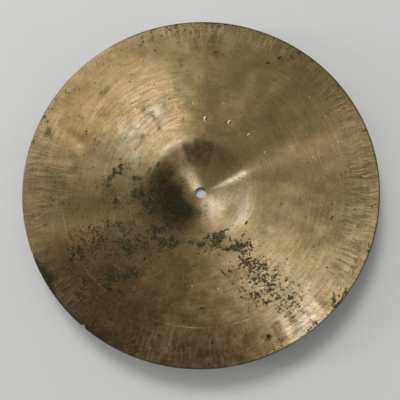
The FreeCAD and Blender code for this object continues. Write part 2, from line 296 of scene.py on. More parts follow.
def with_rings(radii):
    """Adds the stations that the first two turned rings need, and drops those that come too near them."""
    for ring, _, half in LATHE_RINGS[:2]:
        wanted = [(ring + share * half) * MM for share in RING_STATION_SHARES]
        near = (half + RING_SPACE) * MM
        radii = [r for r in radii if abs(r - ring * MM) > near] + wanted
    return sorted(radii)


def sheet_section(kind, hollow_steps, outer_steps):
    """The closed section of a sheet as radii and heights: outer face, rim, hollow face and bore."""
    bell, rim = THICKNESS[kind]
    lift = LIFT[kind]
    outer = [(r, float(face_height(r)) + lift) for r in stations(*outer_steps)]
    hollow = [(r, float(face_height(r, bell, rim)) + lift) for r in with_rings(stations(*hollow_steps))]
    low, reach = RIM_HEIGHT + lift, rim / math.cos(RIM_SLOPE)
    nose = [(RIM_RADIUS - inset * MM, low + share * reach) for inset, share in RIM_NOSE]
    upper_lip = [(BORE_RADIUS + out * MM, lift + bell - inset * MM) for out, inset in BORE_LIP]
    lower_lip = [(BORE_RADIUS + out * MM, lift + inset * MM) for out, inset in BORE_LIP[::-1]]
    return outer + nose + hollow[::-1] + upper_lip + lower_lip


def turned_sheet(kind, columns, hollow_steps, outer_steps):
    """One cymbal spun from its closed section, as a bmesh: a wedge first, doubled until it is a full turn."""
    bm = bmesh.new()
    verts = [bm.verts.new((r, 0, z)) for r, z in sheet_section(kind, hollow_steps, outer_steps)]
    edges = [bm.edges.new(pair) for pair in zip(verts, verts[1:] + verts[:1])]
    wedge = FULL_TURN / 2 ** DOUBLINGS
    bmesh.ops.spin(bm, geom=verts + edges, cent=(0, 0, 0), axis=(0, 0, 1), angle=wedge,
                   steps=columns // 2 ** DOUBLINGS)
    for i in range(DOUBLINGS):
        copy = bmesh.ops.duplicate(bm, geom=bm.verts[:] + bm.edges[:] + bm.faces[:])["geom"]
        bmesh.ops.rotate(bm, cent=(0, 0, 0), matrix=Matrix.Rotation(wedge * 2 ** i, 3, "Z"),
                         verts=[part for part in copy if isinstance(part, bmesh.types.BMVert)])
    bmesh.ops.remove_doubles(bm, verts=bm.verts[:], dist=MERGE_DISTANCE)
    return bm


def mesh_object(name, bm, material, kind):
    """Turns a bmesh into a piece with its place in its mesh, riding on one cymbal."""
    bmesh.ops.recalc_face_normals(bm, faces=bm.faces[:])
    mesh = bpy.data.meshes.new(name)
    bm.to_mesh(mesh)
    bm.free()
    mesh.shade_smooth()
    mesh.materials.append(material)
    piece = bpy.data.objects.new(name, mesh)
    bpy.context.scene.collection.objects.link(piece)
    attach(piece, kind)
    return piece


def points_of(mesh):
    """The places of a mesh's points, with their radius and their angle in degrees."""
    place = np.empty(len(mesh.vertices) * 3)
    mesh.vertices.foreach_get("co", place)
    place = place.reshape(-1, 3)
    angle = np.degrees(np.arctan2(place[:, 1], place[:, 0])) % 360.0
    return place, np.hypot(place[:, 0], place[:, 1]), angle


def work_sheet(piece, kind):
    """Bites, hammering, turned rings and unevenness, as moves of the sheet's own points. Tells for each point
    how far it lies from the outer face (0) to the hollow one (1)."""
    mesh = piece.data
    place, radius, angle = points_of(mesh)
    angle = gather_columns(angle)
    bell, rim = THICKNESS[kind]
    outer = face_height(radius)
    hollow = (place[:, 2] - LIFT[kind] - outer) / (face_height(radius, bell, rim) - outer)
    hollow = np.clip(hollow, 0, 1)
    pull = np.clip((radius - (RIM_RADIUS - RIM_PULL_WIDTH)) / RIM_PULL_WIDTH, 0, 1) ** RIM_PULL_POWER
    radians = np.radians(angle)
    wobble = sum(height * MM * (np.sin(radians * waves + phase) - 1) for height, waves, phase in RIM_WAVES)
    radius = radius + (wobble - bite_depth(kind, angle)) * pull
    place[:, 0], place[:, 1] = radius * np.cos(radians), radius * np.sin(radians)
    place[:, 2] += sheet_change(kind, place[:, 0], place[:, 1], hollow)
    mesh.vertices.foreach_set("co", place.ravel())
    mesh.update()
    return hollow


# Patina of the sheets, with painted highlights and shade

# Soft patches: angle, radius, half width round the axis, half width across, and strength. They go by zone:
# the bell, the bow in quarters with the right one round +X and the far one round +Y, and the rim.
# Each table becomes an attribute of the sheets: how much tarnish or film lies there, how bare the metal is,
# how dense the specks are, and where wear, gleaming rings, grime and streaks show. The bare, pale and copper
# tables and the patches of wear also paint highlights, in the cup, on the bell's shoulder and on the bright
# fans of the bow. The dark, brown and olive tables also paint shade: a dark reflection in the cup's fan, and
# shade that narrows the cup's highlights and sharpens the edge of the far fan.
PATINA_AND_PAINTED_LIGHT = {
    "dark_tarnish_and_shade": [
        # Bell; the rows from 62 to 98 degrees paint a dark reflection in the cup's fan
        (62, 40, 16, 14, 0.16), (84, 38, 15, 13, 0.34), (97, 46, 4, 7, 0.15), (98, 44, 5, 10, 0.05),
        (122, 44, 10, 5, 0.1), (143, 36, 9, 8, 0.4), (160, 41, 16, 9, 0.62), (170, 27, 12, 8, 0.6),
        (172, 52, 14, 6, 0.36), (180, 41, 16, 9, 0.64), (186, 56, 10, 6, 0.3), (190, 27, 14, 9, 0.72),
        (195.8, 24, 5, 5, 0.5), (196, 54, 14, 6, 0.3), (200, 40, 16, 9, 0.6), (205, 50, 24, 5, 0.36),
        (206, 30, 10, 5, 0.4), (210, 26, 14, 9, 0.85), (220, 40, 14, 8, 0.6), (228, 27, 10, 8, 0.7),
        (229.8, 24, 5, 5, 0.4), (238, 42, 12, 7, 0.5), (246, 55, 22, 4, 0.3), (250, 22, 8, 4, 0.45),
        # Bow, near side
        (240, 160, 30, 14, 0.16), (262, 164, 34, 14, 0.34),
        # Rim
        (198, 177, 7, 1.5, 0.6), (204, 173, 12, 4, 0.5), (204, 174.5, 9, 3.5, 0.85), (209, 177, 6, 2, 0.8),
        (220, 177, 9, 1.4, 0.6), (229, 177, 9, 2, 0.85), (230, 171, 44, 6, 0.22), (241.5, 172, 3, 4, 0.4),
        (276, 172, 20, 8, 0.2),
    ],
    "brown_tarnish_and_shade": [
        # Bell
        (48, 42, 12, 9, 0.4), (98, 42, 11.5, 11.5, 0.28), (122, 41, 16.1, 8.05, 0.2),
        (148, 42, 16.1, 9.2, 0.62), (160, 52, 12, 5, 0.45), (200, 36, 41.4, 18.4, 0.75),
        (240, 28, 10.35, 6.9, 0.69), (262, 43, 10, 8, 0.3),
        # Bow, right
        (322, 160, 22, 14, 0.26), (340, 122, 26, 30, 0.22),
        # Bow, far side
        (84, 140, 18, 14, 0.26), (104, 160, 30, 16, 0.34), (115, 90, 2.4, 4.4, 0.42),
        (115.8, 77.5, 2.4, 4, 0.4), (117.8, 102.5, 3, 2.6, 0.45), (120.2, 144, 2.6, 2.4, 0.28),
        (122, 168, 32, 9, 0.34), (128, 146, 16, 8, 0.28), (130, 82, 3.4, 2.6, 0.4),
        (131.5, 87.5, 4, 5, 0.22),
        # Bow, left
        (136, 128, 12, 6, 0.26), (140, 160, 26, 16, 0.34), (142, 146, 5, 9, 0.22), (149, 140, 5, 8, 0.26),
        (150, 124, 10, 8, 0.2), (158.5, 148, 8, 9, 0.38), (160, 166, 4, 7, 0.26), (168.5, 152, 9, 7, 0.36),
        (170, 165, 16, 10, 0.2), (170.5, 166, 5, 8, 0.34), (172, 60, 16, 8, 0.45),
        (172, 145, 20, 16, 0.25), (178, 110, 46, 41.4, 0.14), (184, 80, 34.5, 23, 0.2),
        (192, 62, 20, 9, 0.5), (205, 130, 14, 18, 0.08), (206, 160, 34.5, 23, 0.62),
        (214, 118, 48.3, 36.8, 0.12), (222, 90, 52.9, 27.6, 0.14),
        # Bow, near side
        (228, 146, 80.5, 40, 0.95), (238, 120, 34, 22, 0.3), (240, 72, 34.5, 18.4, 0.5),
        (244, 150, 63.25, 34.5, 0.78), (250, 168, 50, 12, 0.55), (252, 162, 44, 18, 0.45),
        (256, 105, 46, 39.1, 0.5), (258, 158, 30, 16, 0.25), (262, 80, 24, 20, 0.3),
        (262, 155, 24, 16, 0.25), (262, 160, 43.7, 25.3, 0.69), (262, 163, 26, 22, 0.4),
        (262, 168, 34, 9, 0.45), (268, 120, 36, 40, 0.35), (275, 150, 26, 28, 0.45),
        (276, 162, 26, 14, 0.35), (278, 160, 26, 22, 0.28), (279, 168, 16, 10, 0.4),
        (289.5, 163, 5, 10, 0.38), (296, 157, 3.4, 5, 0.4), (300.5, 157, 2.6, 5, 0.4),
        (309, 163, 6, 12, 0.36),
        # Rim
        (225, 170, 34, 10, 0.6), (236, 172, 50.6, 8.05, 0.85), (240, 178, 60, 5, 0.35),
        (247, 172, 30, 9, 0.6), (262, 174, 30, 10, 0.4), (263, 172, 50, 14, 0.34),
        (265, 170, 30, 11, 0.55), (280, 174, 14, 8, 0.3),
    ],
    "olive_film_and_shade": [
        # Bell
        (186, 56, 14, 6, 0.6), (286, 58, 22, 7, 0.55), (318, 38, 9, 7, 0.8),
        # Bow, right
        (40, 165, 50, 12, 0.2), (315, 77, 8, 6, 0.35), (316, 140, 14, 14, 0.3), (318, 152, 18, 14, 0.3),
        (320, 125, 36, 34, 0.3), (322, 72, 24, 14, 0.4), (322, 165, 9, 12, 0.2), (322, 166, 12, 12, 0.2),
        (338, 130, 40, 36, 0.62), (342, 72, 26, 12, 0.4), (345, 160, 40, 16, 0.25),
        (345, 160, 50, 14, 0.25),
        # Bow, far side
        (60, 66, 20, 10, 0.12), (65, 130, 50, 50, 0.1), (70, 62, 18, 9, 0.35), (77.5, 154, 10, 11, 0.62),
        (78, 92, 24, 40, 0.3), (78, 150, 4, 6, 0.25), (82, 66, 12, 10, 0.35), (85, 155, 5, 7, 0.4),
        (95, 166, 16, 6, 0.35), (97, 104, 6, 8, 0.25), (100, 150, 28, 26, 0.2), (103, 108, 7, 9, 0.3),
        (106, 166, 40, 12, 0.1), (108, 140, 22, 12, 0.05), (114, 138, 9, 6, 0.22), (115.5, 92, 3, 6, 0.35),
        (117, 103, 3, 6, 0.35), (122, 162, 30, 14, 0.12), (126.8, 143.2, 6, 4, 0.15),
        (128, 152, 16, 10, 0.16), (131, 86, 6, 8, 0.3), (134, 162, 36, 10, 0.1),
        # Bow, left
        (140, 94, 7, 8, 0.25), (140, 118, 30, 22, 0.2), (147, 100, 10, 10, 0.25),
        (152.5, 164.5, 4, 4, 1.0), (165, 100, 30, 36, 0.35), (170, 72, 26, 18, 0.4),
        (175, 145, 26, 30, 0.25), (203, 112, 14, 9, 0.45), (212, 95, 24, 16, 0.45), (219, 126, 7, 7, 0.5),
        (224, 112, 10, 9, 0.5),
        # Bow, near side
        (280, 95, 30, 28, 0.35), (283, 150, 24, 26, 0.45), (295, 71, 9, 5, 0.6), (297, 112, 12, 36, 0.25),
        (300, 150, 20, 10, 0.25),
        # Rim
        (204, 173, 14, 6, 0.8), (229, 175, 9, 4, 0.8),
    ],
    "rubbed_bare_and_highlight": [
        # Bell: mostly painted highlights, the streak at 12 degrees, the streaks by the bore and the bright
        # band on the shoulder
        (12, 35, 4, 17, 0.75), (12, 35, 5, 15, 0.31), (105, 24, 5, 8, 0.38), (108, 57, 14, 4.5, 0.45),
        (112, 13, 7, 7, 0.5), (112, 20, 6, 12, 0.55), (112, 44, 8, 6, 0.3), (120, 16, 4, 12, 0.35),
        (120, 56, 12, 4, 0.35), (296, 53, 12, 2.5, 0.31), (300, 15, 9, 8, 0.45), (301, 26, 12, 12, 0.45),
        (316, 55.5, 24, 3, 0.42), (318, 24, 11, 9, 0.28), (340, 47, 20, 7, 0.31), (343, 42, 14, 9, 0.3),
        (352, 44, 10, 9, 0.25),
        # Bow, far side, in the bright fan: bared metal, partly painted highlight
        (95, 78, 5, 4, 0.25), (100, 88, 7, 9, 0.31), (102, 88, 5, 7, 0.3), (104, 120, 14, 8, 0.25),
        (106, 134, 9, 6, 0.3), (112, 72, 18, 7, 0.21), (112, 99, 14, 10, 0.25), (117, 117, 10, 7, 0.35),
        (119.5, 115, 6, 6, 0.45), (123, 124, 8, 4, 0.25), (124, 92, 12, 8, 0.28), (130, 100, 8, 4, 0.25),
        (132, 102, 14, 3, 0.35),
        # Bow, left
        (135, 139, 12, 7, 0.12), (146.5, 156, 5, 8, 0.36), (153.2, 132.2, 5, 4, 0.42),
        (161.8, 137.8, 5, 4, 0.38), (166, 162, 4, 5, 0.28),
        # Bow, near side, in the bright fan: bared metal, partly painted highlight
        (284, 108, 12, 12, 0.15), (285, 136, 16, 12, 0.2), (290, 150, 9, 9, 0.25),
        (292.5, 162, 2.6, 10, 0.62), (293, 161, 8, 13, 0.55), (297, 80, 12, 10, 0.3),
        (297, 112, 22, 16, 0.22), (297, 169, 12, 7, 0.12), (298.5, 166, 5, 4, 0.4),
        (300, 140, 24, 12, 0.22), (304, 160, 10, 12, 0.1), (306, 161, 3, 11, 0.66), (309, 165, 12, 8, 0.1),
        (314, 150, 12, 12, 0.19),
        # Rim
        (163.8, 170.8, 4, 3, 0.34),
    ],
    "pale_film_and_highlight": [
        # Bell: mostly painted highlights, on the streaks in the cup and the bright band on the shoulder
        (12, 36, 3, 12, 0.8), (20, 40, 6, 10, 0.1), (110, 12, 8, 7, 0.3), (112, 55, 20, 4, 0.3),
        (119, 15, 4, 11, 0.5), (121, 28, 4, 9, 0.4), (223.5, 47.4, 4.4, 3.4, 0.5), (283, 32, 9, 12, 0.3),
        (300, 18, 9, 9, 0.4), (305, 52, 22, 3, 0.35), (318, 24, 11, 8, 0.22), (320, 48, 14, 6, 0.25),
        (328, 50, 24, 6, 0.3), (334, 26, 8, 11, 0.35), (340, 44, 14, 8, 0.42), (354, 24, 8, 12, 0.3),
        # Bow, far side, in the bright fan: partly painted highlight
        (111, 95, 9, 7, 0.65), (112, 99, 6, 6, 0.3), (126, 66, 16, 6, 0.25), (133, 92, 14, 12, 0.35),
        # Bow, left
        (138, 92, 10, 9, 0.4), (145, 75, 9, 6, 0.65), (162, 72, 16, 10, 0.15), (202, 92, 9, 5, 0.3),
        # Bow, near side, in the bright fan: partly painted highlight
        (297, 112, 12, 30, 0.25), (299, 163, 9, 9, 0.35), (300, 155, 24, 20, 0.14),
        (300.5, 168, 7, 4, 0.35), (305, 120, 36, 40, 0.14),
        # Rim: a painted highlight along the far and left rim, and a pale patch at 295 degrees
        (120, 177.2, 50, 1.6, 0.35), (160, 177.2, 60, 1.6, 0.55), (295.5, 175, 9, 3.4, 1.0),
    ],
    "copper_tone_and_highlight": [
        # Bell: a painted gold highlight
        (262, 28, 9, 5, 0.5), (265, 30, 5, 6, 0.45),
        # Bow, right
        (12, 130, 40, 44, 0.16), (316, 140, 10, 12, 0.25), (330, 112, 18, 8, 0.35),
        # Bow, far side, in the bright fan: partly painted highlight
        (98, 86, 6, 10, 0.6), (103, 72, 8, 8, 0.35), (103, 118, 7, 8, 0.5), (110, 146, 10, 10, 0.34),
        (118, 116, 5, 5, 0.55), (119, 136, 13, 9, 0.38), (119.5, 115, 6, 6, 0.35), (124, 104, 14, 8, 0.3),
        (125, 122, 60, 44, 0.2), (134, 138, 13, 10, 0.4),
        # Bow, left: coppery tone, with painted golden highlights from 142 to 166 degrees
        (138, 116, 15, 9, 0.34), (142, 150, 36, 22, 0.3), (146, 150, 7, 12, 0.42), (146, 160, 16, 10, 0.3),
        (150.5, 162, 5, 13, 0.45), (151, 137, 7, 8, 0.35), (153, 132, 6, 9, 0.45), (157, 150, 6, 12, 0.35),
        (162, 138, 5, 9, 0.42), (163, 150, 7, 14, 0.35), (166, 161, 7, 7, 0.36), (190, 130, 16, 14, 0.2),
        (206, 120, 20, 20, 0.3), (222, 140, 50, 26, 0.4),
        # Bow, near side: partly painted highlight in the bright fan
        (232, 130, 60, 50, 0.18), (238, 165, 44, 16, 0.28), (240, 150, 40, 22, 0.35),
        (290, 120, 30, 30, 0.25), (292, 98, 20, 20, 0.18), (293, 162, 4, 12, 0.35),
        (306, 163, 4, 12, 0.35), (307, 160, 6, 8, 0.4),
    ],
    "green_specks": [
        # Bell
        (143, 51, 7.8, 2.6, 0.4), (151.5, 56, 5.2, 2.6, 0.6), (160, 51, 10, 2.6, 0.4),
        (172, 50, 10, 6, 0.3), (172, 50, 10.4, 2.6, 0.3), (178, 57, 6.5, 6.5, 0.75),
        (185, 56, 11.7, 5.2, 1.0), (186, 40, 8, 4, 0.35), (186, 44, 14, 7, 0.26),
        (191, 54, 11.7, 3.9, 0.9), (196, 57, 7.8, 3.9, 0.55), (200, 27, 6, 4, 0.6), (213, 24, 8, 5, 0.6),
        (222, 58, 10.4, 3.9, 0.5), (223.5, 47.2, 4.4, 4.2, 0.85), (224, 57, 6.5, 2.6, 0.6),
        (226, 49, 14, 3.9, 0.55), (243, 46, 7.8, 2.6, 0.4), (250, 57, 14, 3.9, 0.45),
        (262, 57, 10, 3.9, 0.45), (269, 50, 6.5, 2.6, 0.51), (270, 53, 7.8, 5.2, 0.34),
        (275, 56, 10.4, 5.2, 0.38), (280, 50, 10.4, 2.1, 0.45), (281, 49, 3, 3, 0.6),
        (282, 57, 10.4, 5.2, 0.38), (288, 54, 9.1, 3.9, 0.5), (290, 50, 14, 1.8, 0.77),
        (290, 57.5, 5.2, 3.9, 0.55),
        # Bow, far side
        (47.5, 168, 3.9, 3.9, 0.6),
        # Bow, left
        (155.5, 76, 9.1, 3.9, 0.45), (156, 84, 10.4, 3.9, 0.55), (157.5, 84, 7, 4, 0.35),
        (161, 104, 3.9, 2.6, 0.4), (162, 90, 6.5, 2.9, 0.9), (163.5, 67, 5.2, 4.4, 1.0),
        (168, 93, 6.5, 4.6, 0.95), (173, 65, 3.9, 2.6, 0.5), (177, 68, 7.8, 2.6, 0.8),
        (179, 133, 3.9, 6.5, 0.5), (180, 77, 7.8, 2.6, 0.6), (182, 60, 7.8, 3.1, 0.7),
        (182, 66, 6.5, 2.6, 0.7), (183.5, 86, 7.8, 3.9, 0.85), (184, 72, 5.2, 3.9, 0.5),
        (190, 70, 26, 16, 0.22), (191, 67, 7.8, 2.6, 0.7), (191, 75, 3.9, 5.2, 0.5),
        (200.5, 78, 3.9, 3.9, 0.4), (201, 88, 6.5, 3.9, 0.6), (203, 76, 3.9, 2.6, 0.4),
        (203.5, 85, 5.2, 2.6, 0.6), (204, 90, 9, 3.5, 0.35), (205, 66, 26, 5, 0.3),
        (212, 60, 12, 3.9, 0.55), (215, 92, 16, 14, 0.3), (215, 96, 9, 6, 0.35), (217, 79, 8, 5, 0.4),
        # Bow, near side
        (225, 112, 10, 8, 0.4), (226, 67, 10.4, 3.9, 0.85), (226, 108, 6, 7, 0.35),
        (229, 70, 6.5, 5.2, 0.6), (238, 66, 6.5, 2.6, 0.5), (238, 79, 5.2, 2, 0.4),
        (239, 61, 7.8, 5.2, 0.85), (269, 60, 6.5, 2.6, 0.42), (272, 60, 7.8, 3.9, 0.34),
        (278, 71, 6.5, 2.6, 0.34), (284, 63, 10.4, 3.9, 0.36), (287, 68, 9.1, 3.4, 0.45),
        (294.5, 71.5, 9.1, 4.4, 1.0), (296, 64, 3.9, 2.1, 0.42), (296.5, 71.5, 4, 3, 0.8),
        # Rim
        (10.5, 175, 3.9, 3.9, 0.5), (29, 176, 6.5, 2.6, 0.5), (41, 175, 3.9, 3.9, 0.7),
        (46, 177, 9.1, 3.9, 0.8), (78, 176, 20, 2.6, 0.5), (83, 172, 11.7, 7.8, 0.35),
        (93, 175, 14, 3.9, 0.4),
    ],
    "black_specks": [
        # Bell
        (150, 36, 10, 10, 0.16), (168, 26, 12, 3.9, 0.6), (190, 36, 20, 8, 0.3), (205, 26, 20, 9.1, 0.75),
        (207, 27, 13, 8, 0.45), (225, 25, 10, 6.5, 0.7), (248, 58, 22, 3.9, 0.4),
        (314.5, 58.5, 2.8, 1.4, 1.0),
        # Bow, right
        (16, 68, 3.9, 2.6, 0.42), (16, 157, 1.6, 1.4, 0.7), (27.5, 158, 1.8, 1.4, 0.7),
        (319, 162, 7.8, 5.2, 0.3), (339, 135, 2.4, 2, 0.85), (342, 83, 7.8, 2.6, 0.3),
        (350, 150, 46, 23, 0.08), (356.5, 142, 3.2, 1.8, 0.55),
        # Bow, far side
        (48, 167, 2.4, 2.2, 0.8), (51.3, 160, 2.8, 2.4, 0.75), (54.5, 150.5, 3, 2.6, 0.75),
        (64, 143, 1.6, 1.4, 0.7), (76, 146, 1.8, 1.5, 0.7), (104, 166, 22, 7.8, 0.14),
        # Bow, left
        (145.5, 131, 2, 1.2, 0.48), (160, 100, 40, 40, 0.08), (163, 127, 2.4, 2, 0.5),
        (178, 148, 2.2, 1.5, 0.8), (190, 120, 30, 35, 0.14), (192.5, 118, 2, 2, 0.8),
        (193, 98, 3.9, 3.9, 0.36), (193, 108, 10, 20, 0.2), (194, 93, 3.9, 3.9, 0.4),
        (196.5, 125, 6.5, 12, 0.32), (197, 88, 3.9, 2.6, 0.5), (197, 107, 5.2, 6.5, 0.29),
        (197, 139, 7.8, 3.9, 0.43), (201.5, 142, 3.6, 3, 0.85), (202, 135, 7.8, 3.9, 0.36),
        (202, 146, 7.8, 3.9, 0.54), (202.5, 147, 2.6, 2, 0.9), (203, 113, 11, 9.1, 0.43),
        (205, 85, 5.2, 2.6, 0.4), (206, 93, 5.2, 2.6, 0.5), (206, 126, 16, 10, 0.25),
        (209, 118, 5.2, 5.2, 0.36), (210, 150, 45, 30, 0.2), (212, 108, 14, 8, 0.22),
        (213, 96, 11, 7.8, 0.5), (214, 85, 40, 26, 0.14), (214, 136, 10.4, 2, 0.43),
        (215, 82, 11, 9.1, 0.55), (215, 130, 40, 45, 0.2), (215, 159, 2.4, 2, 0.7),
        (216, 121, 9.1, 2.6, 0.5), (218, 124, 6, 7, 0.45), (218, 143, 16, 8, 0.3),
        (219.5, 126, 7.8, 7.8, 0.85), (221, 119, 5.2, 2.6, 0.6), (222, 135, 2.4, 2.2, 1.0),
        (222, 135, 3.2, 3, 1.0), (223, 115, 6.5, 5.2, 0.75),
        # Bow, near side
        (225, 162, 40, 14, 0.3), (226, 90, 7.8, 6.5, 0.4), (226, 131, 3.4, 2.4, 1.0),
        (226.5, 107, 6.5, 6.5, 0.75), (229, 157, 2, 1.6, 0.7), (230, 95, 3.1, 6.5, 0.4),
        (232, 115, 7.8, 7.8, 0.35), (235, 158, 20, 12, 0.22), (240, 168, 3.9, 3.9, 0.4),
        (245, 140, 40, 40, 0.12), (252, 80, 10, 3.9, 0.25), (255.8, 133.8, 1.8, 1.8, 0.9),
        (262, 66, 10.4, 2.6, 0.5), (264, 121, 3.5, 1.2, 0.8), (267, 154, 2.6, 2.6, 1.0),
        (268, 62, 10.4, 3.9, 0.45), (282, 90, 2.1, 1.6, 0.5), (283, 112, 8, 10, 0.2),
        (285.5, 118.5, 5, 0.9, 0.45), (286, 90, 5.2, 1.7, 0.6), (286, 161.6, 3.4, 3.8, 1.0),
        (288, 120, 12, 14, 0.2), (289.5, 122, 9.1, 3.9, 0.62), (290, 100, 8, 6, 0.24),
        (292, 80, 3, 4, 0.45), (292, 106, 3.9, 1.6, 0.6), (292, 132.5, 5.2, 2.1, 0.6),
        (293, 87, 5.2, 2.6, 0.6), (293, 128, 10, 7.8, 0.24), (293.5, 98, 6.5, 2.6, 0.7),
        (294, 94, 13, 7, 0.34), (294.5, 92, 6.5, 2.6, 0.62), (296, 84, 10, 6, 0.3),
        (296, 130, 3.9, 2.6, 0.65), (296, 147, 14, 6, 0.26), (296, 158, 3.9, 2.6, 0.3),
        (296.5, 110, 9.1, 3.9, 0.55), (297, 79, 5, 5, 0.6), (297, 115, 20, 30, 0.24),
        (297, 118, 5.2, 5.9, 0.5), (297, 135, 14, 10, 0.26), (297.5, 151, 4, 2, 0.45),
        (298, 86.5, 2.6, 3.9, 0.7), (299, 72, 4, 4, 0.45), (299, 124, 10, 8, 0.14),
        (299, 155, 10.4, 3.9, 0.3), (300, 112, 8, 20, 0.14), (300.5, 102, 5.2, 3.9, 0.85),
        (301, 142.5, 5.2, 5.2, 0.55), (301, 150, 6.5, 3.9, 0.55), (302, 116, 4, 2, 0.45),
        (302.5, 77, 3.1, 3.9, 0.7), (303, 73, 5, 4, 0.35), (303, 158, 3.9, 2.6, 0.3),
        (303.8, 147, 2, 4, 0.55), (304.5, 65, 3.4, 1.7, 0.8), (304.5, 91.5, 3.9, 1.3, 0.3),
        (304.5, 127.5, 2.4, 4, 0.6), (304.7, 130, 3.1, 6.5, 0.45), (305, 122, 6, 10, 0.15),
        (306, 140, 7.8, 8, 0.2),
        # Rim
        (60, 174, 60, 5.2, 0.18), (92, 173, 40, 5.2, 0.35), (148, 174, 16, 5.2, 0.45),
        (157.7, 175, 2.4, 2.8, 1.0), (199.5, 176.5, 10.4, 2.6, 0.75), (204, 174, 11.7, 5.2, 1.0),
        (204, 175, 10, 3.5, 0.7), (208, 176.5, 7.8, 2.6, 0.8), (216, 177, 12, 2.1, 0.8),
        (222, 173, 6.5, 6.5, 0.55), (225.5, 172, 5.2, 3.9, 0.55), (228, 177, 10, 2.6, 0.9),
        (229, 176.5, 8, 2, 0.8), (231.5, 176, 5.2, 3.9, 0.95), (241.5, 172, 3.9, 6.5, 0.65),
        (243, 172, 2.4, 2.4, 0.8), (262, 172, 14, 5.2, 0.2), (268, 177, 11.7, 2.6, 0.35),
        (287, 172, 10, 6.5, 0.35), (297, 171, 5.2, 3.9, 0.35), (298.2, 175, 3.4, 1.6, 0.95),
        (301, 174, 3.9, 2, 0.8), (310, 177, 10, 2.1, 0.9), (311, 172, 10.4, 5.2, 0.45),
        (315, 176, 6.5, 2.6, 0.7), (325, 170, 10, 7.8, 0.3), (330, 176, 14, 2.6, 0.4),
    ],
    "wear_and_highlight_patches": [
        # Bow, right
        (10, 130, 50, 50, 0.15), (315, 120, 40, 50, 0.25),
        # Bow, far side, on the bright fan: wear and painted highlight
        (118, 98, 50, 40, 0.85),
        # Bow, left
        (140, 120, 40, 30, 0.45), (150, 160, 40, 18, 0.5), (200, 120, 60, 50, 0.25),
        # Bow, near side, on the bright fan: wear and painted highlight
        (250, 140, 60, 36, 0.25), (295, 130, 40, 44, 0.7), (300, 165, 30, 16, 0.9),
    ],
    "ring_gleam": [
        # Bell
        (110, 57, 20, 4, 0.5), (330, 57, 30, 4, 0.8),
        # Bow, right
        (22, 146.8, 34, 3, 0.3),
        # Bow, far side
        (45, 146.8, 34, 3, 0.3), (66, 146.8, 26, 3, 0.25), (120, 121, 40, 3, 0.4),
        # Bow, left
        (194, 139.5, 34, 3, 0.6), (214, 139.5, 26, 3, 0.35),
        # Bow, near side
        (259, 139.5, 22, 3, 0.45), (283, 138.8, 24, 3, 0.55), (300, 121, 20, 3, 0.5),
        (305, 160, 20, 14, 0.5), (306, 148, 18, 3, 0.35),
    ],
    "rim_grime": [
        # Rim
        (10, 177, 110, 6, 0.85), (60, 177, 90, 6, 0.85), (98, 177, 50, 6, 0.55), (150, 177, 80, 6, 0.22),
        (215, 177, 60, 6, 1.0), (250, 177, 70, 6, 0.9), (290, 177, 70, 6, 0.85), (330, 177, 90, 6, 0.85),
    ],
    "rim_streaks": [
        # Bow, right
        (25, 168, 50, 12, 0.6), (327, 163, 44, 18, 0.8), (355, 165, 62, 17, 0.75),
        # Bow, far side
        (85, 168, 34, 11, 0.75),
        # Bow, left
        (165, 163, 50, 17, 0.7), (172, 140, 30, 16, 0.31), (186, 168, 30, 12, 0.42),
        (210, 166, 40, 12, 0.5),
        # Bow, near side
        (250, 163, 44, 18, 0.33), (252, 158, 26, 20, 0.26), (268, 165, 20, 14, 0.24),
        # Rim
        (60, 170, 50, 10, 0.6), (122, 172, 54, 7, 0.44),
    ],
}

